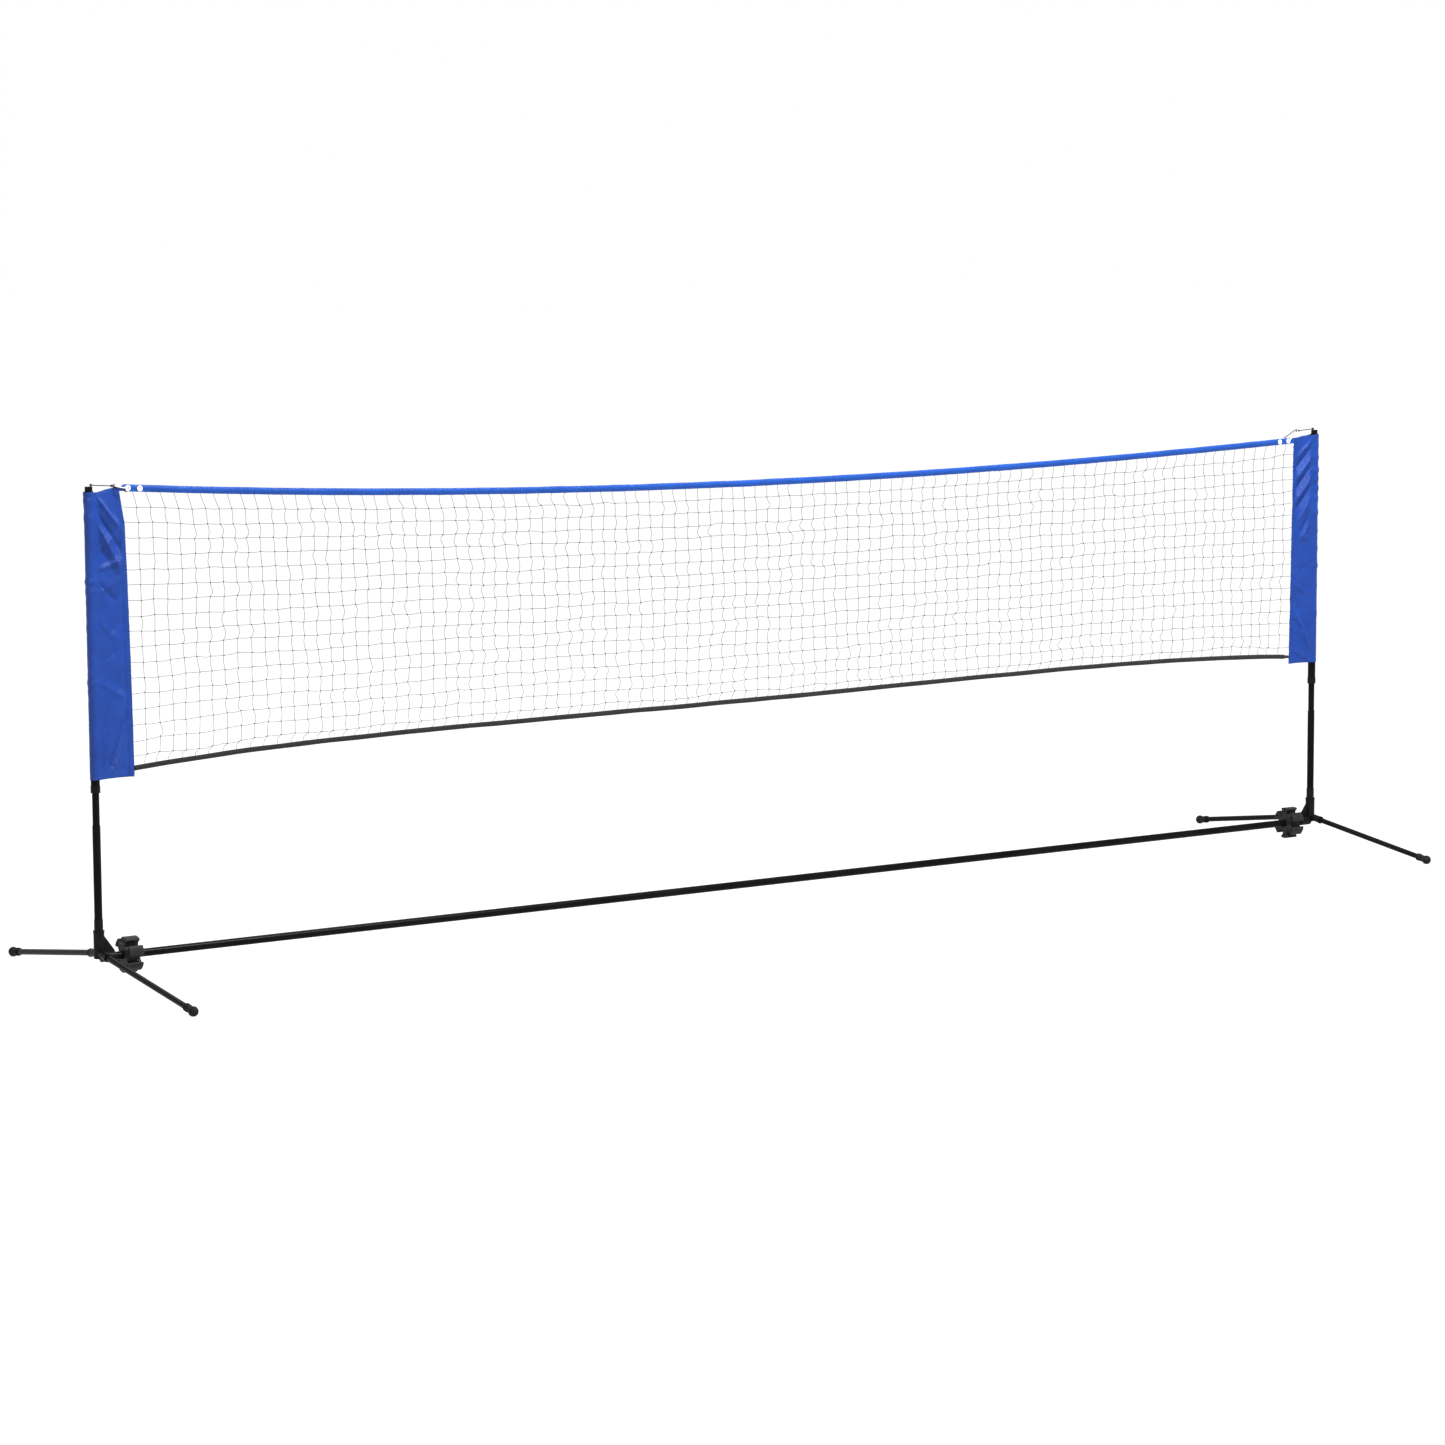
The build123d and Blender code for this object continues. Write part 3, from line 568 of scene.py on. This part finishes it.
def make_sleeve(name, side, materials):
    """One end sleeve of wrinkled nylon, with its hems and its rows of stitching."""
    rng = random.Random(11 if side < 0 else 23)
    bottom = SLEEVE_BOX[name][0].z
    top = POST_TOP
    corner = SLEEVE_CORNER_Z[name]
    rows = np.linspace(0, 1, SLEEVE_ROWS)
    points, uvs = [], []
    for v in rows:
        z_row = bottom + v * (top - bottom)
        width = float(sleeve_width(name, z_row))
        line = section_line(width, SLEEVE_HEM)
        step = np.linalg.norm(np.diff(line, axis=0), axis=1)
        run = np.concatenate([[0], np.cumsum(step)])
        at = np.linspace(0, run[-1], SLEEVE_AROUND + 1)[:-1]
        a = np.interp(at, run, line[:, 0])
        y = np.interp(at, run, line[:, 1])
        share = np.clip(a / width, 0, 1)
        lift = (corner - top) * smooth((a - 0.02) / (width - 0.02)) * smooth((v - 0.9) / 0.1)
        dip = -0.003 * np.exp(-(((a - 0.03) / 0.02) ** 2)) * smooth((v - 0.94) / 0.06)
        low_edge = 0.002 * np.sin(share * 3.1) * (1 - smooth(v / 0.05))
        z = z_row + lift + dip + low_edge
        points.append(np.stack([a, y, z], -1))
        uvs.append(np.stack([at, np.full_like(at, z_row)], -1))
    grid = np.stack(points)
    flat = grid.reshape(-1, 3).copy()
    width = sleeve_width(name, flat[:, 2])
    share = np.clip(flat[:, 0] / width, 0, 1)
    drop = 1 - (flat[:, 2] - bottom) / (top - bottom)
    front = np.sign(flat[:, 1])
    on_flap = smooth((flat[:, 0] - 0.012) / 0.030)
    to_hem = 1 - 0.55 * smooth((share - 0.80) / 0.18)
    fold = fold_height(name, share, drop)
    swell = cloth_noise(flat * np.array([1.0, 0.2, 0.55]), 22.0, side + 4)
    ripple = cloth_noise(flat * np.array([1.0, 0.5, 0.8]), 62.0, side + 7)
    crease = 1 - np.abs(cloth_noise(flat * np.array([0.9, 1.0, 1.25]), 95.0, side + 9)) * 2
    puff = 0.0014 * (0.5 + 0.5 * cloth_noise(flat * np.array([1, 6, 0.6]), 30.0, side + 13))
    sideways = (fold + 0.0022 * swell + 0.0008 * ripple + 0.0004 * crease) * on_flap * to_hem
    flat[:, 1] += -sideways + front * puff * on_flap * smooth((0.86 - share) / 0.1)
    # cloth bunched and gathered round the post only stands out from it
    out = np.zeros(len(flat))
    for place, height in BUNCHES[name]:
        out += height * MM * np.exp(-(((drop - place) / BUNCH_HEIGHT) ** 2))
    out += 0.0006 * (1 + ripple) + 0.0004 * (1 + crease)
    gather = np.exp(-((drop / 0.035) ** 2)) * (1 + np.cos(flat[:, 0] * 900 + flat[:, 1] * 700)) * 0.0007
    outward = flat[:, :2].copy()
    reach = np.maximum(np.linalg.norm(outward, axis=1), 1e-6)
    near_post = 1 - smooth((flat[:, 0] - 0.004) / 0.030)
    flat[:, 0] += outward[:, 0] / reach * (out + gather) * near_post
    flat[:, 1] += outward[:, 1] / reach * (out + gather) * near_post
    # hems: the cloth is doubled at the top, the bottom and the inner edge
    doubled = np.maximum.reduce([
        smooth((TOP_HEM - drop * (top - bottom)) / 0.002),
        smooth((BOTTOM_HEM - (1 - drop) * (top - bottom)) / 0.002),
        smooth((flat[:, 0] - (width - SLEEVE_HEM)) / 0.002),
    ])
    flat[:, 1] += front * doubled * 0.0006
    pucker = cloth_noise(flat * np.array([0.3, 0.1, 1.0]), 190.0, side + 17)
    edge = smooth((share - 0.84) / 0.1)
    flat[:, 1] += pucker * 0.0009 * edge
    flat[:, 0] += pucker * 0.0012 * smooth((share - 0.97) / 0.03)
    flat[:, 0] = side * (POST_X - flat[:, 0])
    faces = grid_faces(SLEEVE_ROWS, SLEEVE_AROUND, True)
    if side > 0:
        faces = faces[:, ::-1]
    sleeve = new_piece(f"{name}_sleeve_cloth", flat, faces.tolist(), materials["nylon"], np.concatenate(uvs))
    thicken(sleeve, CLOTH_THICKNESS)
    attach(sleeve, f"{name}_mast")
    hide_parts(f"{name}_sleeve")
    stitch_sleeve(name, flat.reshape(SLEEVE_ROWS, SLEEVE_AROUND, 3), materials, rng)


def stitch_sleeve(name, surface, materials, rng):
    """Rows of lockstitch down the inner hem, and along the top and bottom hems."""
    stitches = Tubes(6)
    line = section_line(float(np.mean(SLEEVE_WIDTH[name])), SLEEVE_HEM)
    around = np.linalg.norm(np.diff(line, axis=0), axis=1).sum()
    step = around / SLEEVE_AROUND
    columns = [seam / step for seam in HEM_SEAMS]
    columns += [SLEEVE_AROUND - c for c in columns]
    height = surface[-1, 0, 2] - surface[0, 0, 2]
    count = int(height / STITCH_PITCH)

    def at(row, column):
        r0, c0 = int(row), int(column)
        fr, fc = row - r0, column - c0
        r1, c1 = min(r0 + 1, SLEEVE_ROWS - 1), (c0 + 1) % SLEEVE_AROUND
        c0 %= SLEEVE_AROUND
        low = surface[r0, c0] * (1 - fc) + surface[r0, c1] * fc
        high = surface[r1, c0] * (1 - fc) + surface[r1, c1] * fc
        return low * (1 - fr) + high * fr

    def stitch(start, end, facing):
        lift = np.array([0, facing * STITCH_LIFT, 0])
        dive = np.array([0, -facing * STITCH_DIVE, 0])
        run = end - start
        line = [start + dive, start + run * 0.18 + lift, start + run * 0.82 + lift, end + dive]
        stitches.add(line, THREAD_R, side=(0.3, 0.9, 0.2))

    for column in columns:
        facing = -1 if column < SLEEVE_AROUND / 2 else 1
        for k in range(count):
            a = (k + 0.15 + rng.uniform(-0.04, 0.04)) / count * (SLEEVE_ROWS - 1)
            b = (k + 0.80) / count * (SLEEVE_ROWS - 1)
            stitch(at(a, column), at(b, column), facing)
    hem_rows = (
        (1 - TOP_SEAM / height) * (SLEEVE_ROWS - 1),
        BOTTOM_SEAM / height * (SLEEVE_ROWS - 1),
    )
    across = int(STITCH_PITCH / step * 10) / 10
    for row in hem_rows:
        column = 4.0
        while column < SLEEVE_AROUND - 5:
            middle = at(row, column)
            flap = abs(middle[0]) < POST_X + 0.002
            if flap:
                facing = -1 if column < SLEEVE_AROUND / 2 else 1
                stitch(at(row, column), at(row, column + across * 0.66), facing)
            column += across
    piece = stitches.piece(f"{name}_sleeve_stitching", materials["thread"])
    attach(piece, f"{name}_mast")


# ================================================================ tapes
HEAD_STITCH_PITCH = 0.0042
FOOT_STITCH_PITCH = 0.0045


def folded_band(name, places, outline, middle, wobble, material, holes=(), hole_r=0.0):
    """A strip of cloth folded lengthwise: outline(x) is its section as (y, z) points."""
    points, uvs = [], []
    for x in places:
        section = outline(x)
        dy, dz = wobble(x)
        points += [(x, y + dy, middle(x) + h + dz) for y, h in section]
        run = np.cumsum(np.linalg.norm(np.diff(section, axis=0), axis=1))
        uvs += [(u, x) for u in (0.0, *run)]
    faces = grid_faces(len(places), len(section), False)[:, ::-1]
    middles = np.asarray(points)[faces].mean(axis=1)
    for x, z in holes:
        away = np.hypot(middles[:, 0] - x, middles[:, 2] - z)
        faces, middles = faces[away > hole_r], middles[away > hole_r]
    band = new_piece(name, points, faces.tolist(), material, uvs)
    thicken(band, CLOTH_THICKNESS)
    return band


def fold_section(height, thick, lip, crown=0.35):
    """Section of a tape folded over at the top and sewn at the bottom, as (y, z) points."""
    half = height / 2
    side = [
        (lip, -half),
        (lip * 1.15, -half + height * 0.10),
        (lip * 1.10, -half + height * 0.17),
        (thick * 0.55, -half + height * 0.30),
        (thick * 0.88, -half + height * 0.42),
        (thick, -half + height * 0.54),
        (thick * 0.92, -half + height * 0.67),
        (thick * 0.70, -half + height * 0.80),
        (thick * crown, -half + height * 0.91),
        (thick * crown * 0.4, half),
    ]
    front = [(-y, z) for y, z in side]
    return front + [(y, z) for y, z in reversed(side)]


def sew_stitch(stitches, x0, x1, middle, wobble, height, half):
    """One stitch from x0 to x1 on both faces of a tape, half the tape's thickness out."""
    for facing in (-1, 1):
        ends = []
        for x in (x0, x1):
            dy, dz = wobble(x)
            ends.append(np.array([x, dy + facing * half, middle(x) + dz + height]))
        lift = np.array([0, facing * 0.00025, 0])
        near = ends[0] * 0.8 + ends[1] * 0.2 + lift
        far = ends[0] * 0.2 + ends[1] * 0.8 + lift
        stitches.add([ends[0] - 2 * lift, near, far, ends[1] - 2 * lift], THREAD_R, side=(0.2, 0.9, 0.3))


def make_head_tape(materials):
    """Blue tape folded over the rope, with a row of stitching near its lower edge."""
    reach = TAPE_END_X + 0.014
    holes = [(side * x, head_z(side * x)) for side in SIDES.values() for x in EYELET_X]
    fine = [np.arange(x - 0.010, x + 0.010, 0.0008) for x, _ in holes]
    places = np.unique(np.concatenate([np.linspace(-reach, reach, 1201), *fine]))

    def outline(x):
        flat = float(smooth((abs(x) - TAPE_END_X + 0.10) / 0.03))
        thick = 0.0037 + 0.0003 * flat + 0.0002 * noise.noise(Vector((x * 9, 2, 0)))
        tail = float(smooth((abs(x) - EYELET_X[1] - 0.008) / 0.022))
        narrow = 0.55 if x < 0 else 0.12
        height = HEAD_TAPE_HEIGHT * (1 - narrow * tail)
        height *= 1 + 0.05 * noise.noise(Vector((x * 13, 0, 5)))
        lip = 0.0008 + 0.0022 * flat * (1 - tail)
        drop = (HEAD_TAPE_HEIGHT - height) * 0.5 * tail
        return [(y, z - drop) for y, z in fold_section(height, thick * (1 - 0.6 * tail), lip)]

    def wobble(x):
        along = Vector((x * 4.0, 7.0, 0))
        fine = Vector((x * 55.0, 3.0, 0))
        return 0.0006 * noise.noise(along), 0.0007 * noise.noise(along * 1.7) + 0.0003 * noise.noise(fine)

    hole_r = EYELET_BARREL_R + 0.0010
    tape = folded_band(
        "head_tape_cloth", places, outline, head_z, wobble, materials["tape"], holes, hole_r
    )
    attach(tape, "left_mast")
    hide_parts("head_tape")
    stitches = Tubes(5)
    spacing = HEAD_STITCH_PITCH
    for k in range(int(2 * (TAPE_END_X - 0.01) / spacing)):
        x0 = -TAPE_END_X + 0.01 + k * spacing
        sew_stitch(stitches, x0, x0 + spacing * 0.7, head_z, wobble, -HEAD_TAPE_HEIGHT * 0.37, 0.0013)
    piece = stitches.piece("head_tape_stitching", materials["thread"])
    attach(piece, "left_mast")


def make_foot_tape(materials):
    """Black woven tape folded over the mesh's lower edge."""
    left_end = -(POST_X - float(sleeve_width("left", foot_z(-POST_X)))) + 0.001
    right_end = POST_X - float(sleeve_width("right", foot_z(POST_X))) - 0.001
    places = np.linspace(left_end, right_end, 801)

    def outline(x):
        pinch = float(smooth((x - right_end + 0.03) / 0.02))
        height = FOOT_TAPE_HEIGHT * (1 - 0.35 * pinch) * (1 + 0.06 * noise.noise(Vector((x * 11, 0, 9))))
        thick = 0.0021 + 0.0004 * noise.noise(Vector((x * 7, 4, 0)))
        return fold_section(height, thick, 0.0010, crown=0.6)

    def wobble(x):
        along = Vector((x * 3.0, 17.0, 0))
        return 0.0022 * noise.noise(along), 0.0016 * noise.noise(along * 1.6)

    tape = folded_band("foot_tape_cloth", places, outline, foot_z, wobble, materials["hem"])
    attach(tape, "left_mast")
    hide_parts("foot_tape")
    stitches = Tubes(5)
    spacing = FOOT_STITCH_PITCH
    for k in range(int((right_end - left_end - 0.01) / spacing)):
        x0 = left_end + 0.005 + k * spacing
        sew_stitch(stitches, x0, x0 + spacing * 0.66, foot_z, wobble, 0.0, 0.0024)
    piece = stitches.piece("foot_tape_stitching", materials["black_thread"])
    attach(piece, "left_mast")


# ================================================================ mesh
NET_ROWS = 18
NET_COLUMNS = 101
TWINE_R = 0.00072
CELL_POINTS = 6
KNOT_TURNS = 2
LAST_ROW = 0.62  # height of the lowest cells, as a share of the others
UPRIGHT_TWINE = 0.0480  # length of upright twine in one cell, slack included
LAST_SLACK = 0.010  # the most slack in the lowest cells
KNOT_WRAP = 1.9  # a knot's wrap and twine, in twine radii
KNOT_TWINE = 1.3


def field(x, z, scale, seed):
    """Smooth noise over the net's plane."""
    return noise.noise(Vector((x * scale, z * scale, seed)))


def net_knots():
    """Places of the mesh's crossings, in rows from the head tape to the foot tape."""
    rng = random.Random(5)
    knots = np.zeros((NET_ROWS + 1, NET_COLUMNS + 1, 3))
    shares = np.concatenate([np.arange(NET_ROWS), [NET_ROWS - 1 + LAST_ROW]]) / (NET_ROWS - 1 + LAST_ROW)
    for j, share in enumerate(shares):
        z_guess = 1.5 - share * 0.8
        left = -POST_X + float(sleeve_width("left", z_guess)) - 0.002
        right = POST_X - float(sleeve_width("right", z_guess)) + 0.002
        for i in range(NET_COLUMNS + 1):
            part = i / NET_COLUMNS
            x = left + (right - left) * part
            inner = math.sin(math.pi * min(1.0, min(i, NET_COLUMNS - i) / 2.5) / 2)
            lean = 0.010 * field(x, z_guess, 3.1, 2.0) + 0.004 * field(x, z_guess, 9.0, 8.0)
            if j == 0:
                lean -= 0.009 * math.cos(math.pi * min(1.0, part * 1.15))
            if j == NET_ROWS:
                lean -= 0.016 * (1 - 0.6 * part)
            x += inner * (lean + rng.gauss(0, 0.0014))
            top = head_z(x) - HEAD_TAPE_HEIGHT * 0.44
            low = foot_z(x) + FOOT_TAPE_HEIGHT * 0.36
            z = top + (low - top) * share
            free = math.sin(math.pi * min(1.0, min(j, NET_ROWS - j) / 1.5) / 2)
            wave = 0.007 * field(x, z, 2.2, 4.0) + 0.0035 * field(x, z, 9.5, 6.0)
            z += free * (wave + rng.gauss(0, 0.0012))
            if j == NET_ROWS - 1:
                z += 0.010 * field(x, 0.0, 4.0, 31.0)
            y = inner * free * 0.004 * field(x, z, 5.0, 12.0)
            knots[j, i] = (x, y, z)
    return knots


def strand(a, b, bow, lean, sag, steps):
    """Points of slack twine from a to b: it bows to one side, more near one end."""
    t = np.linspace(0, 1, steps + 1)[:-1]
    base = a[None] * (1 - t[:, None]) + b[None] * t[:, None]
    shape = np.sin(math.pi * t) + lean * np.sin(2 * math.pi * t)
    base[:, 0] += bow[0] * shape
    base[:, 1] += bow[1] * shape
    base[:, 2] += bow[2] * shape - sag * np.sin(math.pi * t)
    return base


def make_net(materials):
    """Knotted twine mesh: slack upright twines, tighter cross twines, a knot at each crossing."""
    rng = random.Random(17)
    knots = net_knots()
    tubes = Tubes(5)
    for i in range(1, NET_COLUMNS):
        line = []
        for j in range(NET_ROWS):
            a, b = knots[j, i], knots[j + 1, i]
            gap = np.linalg.norm(b - a)
            slack = max(0.0, UPRIGHT_TWINE - gap)
            if j == NET_ROWS - 1:
                slack = min(slack, LAST_SLACK)
            reach = 0.72 * math.sqrt(0.4 * gap * slack) + 0.0006
            tide = field(a[0], j * 0.31, 3.2, 40.0) * 2.6 + 0.55 * math.sin(j * 1.9 + a[0] * 1.3)
            drift = tide + rng.gauss(0, 0.24)
            bow = max(-1.0, min(1.0, drift))
            deep = rng.uniform(-0.35, 0.35)
            lean = rng.gauss(0, 0.22)
            line.append(strand(a, b, (bow * reach, deep * reach, 0), lean, 0.0, CELL_POINTS))
        line.append(knots[NET_ROWS, i][None])
        tubes.add(np.concatenate(line), TWINE_R)
    for j in range(1, NET_ROWS):
        line = []
        for i in range(NET_COLUMNS):
            a, b = knots[j, i], knots[j, i + 1]
            sag = abs(rng.gauss(0, 0.0007))
            lean = rng.gauss(0, 0.5)
            deep = rng.gauss(0, 0.0008)
            line.append(strand(a, b, (0, deep, rng.gauss(0, 0.0007)), lean, sag, CELL_POINTS))
        line.append(knots[j, NET_COLUMNS][None])
        tubes.add(np.concatenate(line), TWINE_R, side=(0, 1, 0))
    for j in range(1, NET_ROWS):
        for i in range(1, NET_COLUMNS):
            add_knot(tubes, knots[j, i], rng)
    net = tubes.piece("net_twine_mesh", materials["twine"])
    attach(net, "left_mast")
    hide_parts("net_mesh")


def add_knot(tubes, centre, rng):
    """A tight wrap of twine round one crossing."""
    steps = 6 * KNOT_TURNS + 1
    turn = np.linspace(0, 2 * math.pi * KNOT_TURNS, steps) + rng.uniform(0, 6)
    tilt = rng.uniform(-0.5, 0.5) + (0.78 if rng.random() < 0.5 else -0.78)
    wrap_r = TWINE_R * KNOT_WRAP
    along = np.linspace(-1, 1, steps) * TWINE_R * 1.6
    x = wrap_r * np.cos(turn)
    y = wrap_r * np.sin(turn)
    across = x * math.cos(tilt) - along * math.sin(tilt)
    rise = x * math.sin(tilt) + along * math.cos(tilt)
    line = np.stack([across, y, rise], -1)
    axis = (-math.sin(tilt), 0, math.cos(tilt))
    tubes.add(centre + line, TWINE_R * KNOT_TWINE, side=axis)


# ================================================================ ropes and ties
LOOP_HALF_WIDTH = 0.008
ROPE_R = 0.002
TIE_R = 0.0015
EYELET_A = POST_X - EYELET_X[1]  # outer eyelet, from the post axis
LOOP_END = (0.086, 1.548)
HOOK = (0.008, 1.553)
HOOK_EYE_R = 0.004
SMALL_EYE_R = 0.0042
KNOT_BACK = 0.0074  # from the small eye's middle back to the knot's
# the tie cord's free end: distance from the post axis, depth and height
TIE_TAIL = {
    "left": (
        (0.084, -0.008, 1.5465), (0.094, -0.014, 1.541), (0.107, -0.0145, 1.535), (0.120, -0.0135, 1.5305),
    ),
    "right": (
        (0.091, -0.003, 1.554), (0.112, -0.004, 1.546), (0.131, -0.002, 1.533), (0.144, 0.0, 1.5265),
    ),
}
LOOP_SQUEEZE = 0.45  # how much narrower the rope loop is halfway along
LOOP_SAG = 0.0015
STRAIGHT_TO_KNOT = 0.006  # how far before the knot the route has a point that keeps its run straight
TIE_KNOT_SIZES = {"knot": (0.0085, 0.0026), "end_knot": (0.0034, 0.0011)}  # width and radius
TIE_KNOT_TURNS = 3


def on_side(side, a, y, z):
    """A point given by its distance from the post axis towards the net."""
    return np.array([side * (POST_X - a), y, z])


def make_rope_loop(name, side, materials):
    """White braided loop from the tie cord through the outer eyelet."""
    eyelet = np.array([EYELET_A, head_z(side * (POST_X - EYELET_A))])
    far = np.array(LOOP_END)
    run = eyelet - far
    length = np.linalg.norm(run)
    run /= length
    w = LOOP_HALF_WIDTH
    steps = 24
    line = []
    for k in range(steps):
        line.append((w + (length - 2 * w) * k / steps, w))
    for k in range(steps):
        t = math.pi * k / steps
        line.append((length - w + w * math.sin(t), w * math.cos(t)))
    for k in range(steps):
        line.append((length - w - (length - 2 * w) * k / steps, -w))
    for k in range(steps + 1):
        t = math.pi * k / steps
        line.append((w - w * math.sin(t), -w * math.cos(t)))
    rope = Tubes(12)
    points = []
    for along, across in line:
        squeeze = 1 - LOOP_SQUEEZE * math.sin(math.pi * min(1, max(0, along / length)))
        slack = -LOOP_SAG * math.sin(math.pi * along / length)
        a, z = far + run * along
        points.append(on_side(side, a, across * squeeze, z + slack))
    rope.add(points, ROPE_R, side=(0, 0, 1), capped=False)
    piece = rope.piece(f"{name}_rope_loop_braid", materials["rope"])
    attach(piece, f"{name}_mast")
    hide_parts(f"{name}_rope_loop")


def cord_curve(name, route, radius, material):
    """A cord along one smooth curve with the route's points as its control points."""
    curve = bpy.data.curves.new(f"{name}_line", "CURVE")
    curve.dimensions = "3D"
    curve.bevel_depth = radius
    curve.bevel_resolution = 4
    curve.resolution_u = 12
    curve.use_fill_caps = True
    spline = curve.splines.new("NURBS")
    spline.points.add(len(route) - 1)
    for point, place in zip(spline.points, route):
        point.co = (*place, 1.0)
    spline.order_u = 3
    spline.use_endpoint_u = True
    curve.materials.append(material)
    cord = bpy.data.objects.new(f"{name}_braid", curve)
    bpy.context.scene.collection.objects.link(cord)
    return cord


def make_tie_eyes(name, side, hook, eye, material):
    """The level eye round the cap's hook and the upright eye round the rope loop."""
    ties = Tubes(10)
    ring = []
    for k in range(33):
        t = 2 * math.pi * k / 32
        ring.append(on_side(side, hook[0] + HOOK_EYE_R * math.cos(t), HOOK_EYE_R * math.sin(t), hook[1]))
    ties.add(ring, TIE_R, side=(0, 0, 1), capped=False)
    ring = []
    for k in range(25):
        t = 2 * math.pi * k / 24
        a, z = eye[0] + SMALL_EYE_R * math.cos(t), eye[1] + SMALL_EYE_R * math.sin(t)
        ring.append(on_side(side, a, 0, z))
    ties.add(ring, TIE_R, side=(0, 1, 0), capped=False)
    return ties.piece(f"{name}_tie_eyes", material)


def make_tie_knot(name, side, place, run, width, size, material):
    """Cord wrapped a few turns round the run's direction."""
    wraps = Tubes(10)
    line = []
    for k in range(40):
        t = k / 39
        turn = t * TIE_KNOT_TURNS * 2 * math.pi
        across = size * (1 - 0.35 * abs(2 * t - 1))
        a = place[0] + run[0] * (t - 0.5) * width - run[1] * across * math.cos(turn)
        z = place[2] + run[1] * (t - 0.5) * width + run[0] * across * math.cos(turn)
        line.append(on_side(side, a, place[1] + across * math.sin(turn), z))
    wraps.add(line, TIE_R, side=(1, 0.1, 0))
    return wraps.piece(name, material)


def make_tie(name, side, materials):
    """Black tie cord from the cap's hook to its knot and free end, with its two eyes and the knots."""
    hook = np.array(HOOK)
    eye = np.array(LOOP_END)
    run = (eye - hook) / np.linalg.norm(eye - hook)
    start = hook + run * HOOK_EYE_R
    knot = eye - run * KNOT_BACK
    before_knot = knot - run * STRAIGHT_TO_KNOT
    route = [
        on_side(side, start[0], 0, start[1]),
        on_side(side, before_knot[0], 0, before_knot[1]),
        on_side(side, knot[0], 0, knot[1]),
        *(on_side(side, *point) for point in TIE_TAIL[name]),
    ]
    cord = cord_curve(f"{name}_tie_cord", route, TIE_R, materials["tie"])
    eyes = make_tie_eyes(name, side, hook, eye, materials["tie"])
    places = {"knot": (knot[0], 0, knot[1]), "end_knot": TIE_TAIL[name][-1]}
    knots = []
    for label, (width, size) in TIE_KNOT_SIZES.items():
        piece_name = f"{name}_tie_{label}"
        knots.append(make_tie_knot(piece_name, side, places[label], run, width, size, materials["tie"]))
    for piece in (cord, eyes, *knots):
        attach(piece, f"{name}_mast")
        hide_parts(f"{name}_tie_cord")


# ================================================================ carried-over nodes
def dress(node, material):
    """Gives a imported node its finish."""
    mesh = NODES[node].data
    mesh.materials.clear()
    mesh.materials.append(material)


def dress_frame(materials):
    for i in range(1, 6):
        dress(f"crossbar_{i}", materials["tube_x"])
    for i in range(1, 5):
        dress(f"spigot_{i}", materials["moulding"])
    dress("shock_cord", materials["tie"])
    dress("head_rope", materials["rope"])
    finishes = {
        "tube_z": ("lower_tube", "inner_tube", "upper_tube"),
        "tube_y": ("front_leg", "rear_leg"),
        "moulding": ("hub", "ferrule", "cord_anchor", "twist_lock", "guide_bush", "collar", "post_cap"),
        "rubber": ("front_foot", "rear_foot"),
        "clip": ("storage_clip",),
        "eyelet": ("eyelets",),
    }
    for name in SIDES:
        for finish, parts in finishes.items():
            for part in parts:
                dress(f"{name}_{part}", materials[finish])


# ================================================================ assembly
make_camera()
make_studio()
MATERIALS = make_materials()
dress_frame(MATERIALS)
for side_name, side_sign in SIDES.items():
    make_tie(side_name, side_sign, MATERIALS)
    make_rope_loop(side_name, side_sign, MATERIALS)
    make_sleeve(side_name, side_sign, MATERIALS)
make_head_tape(MATERIALS)
make_foot_tape(MATERIALS)
make_net(MATERIALS)
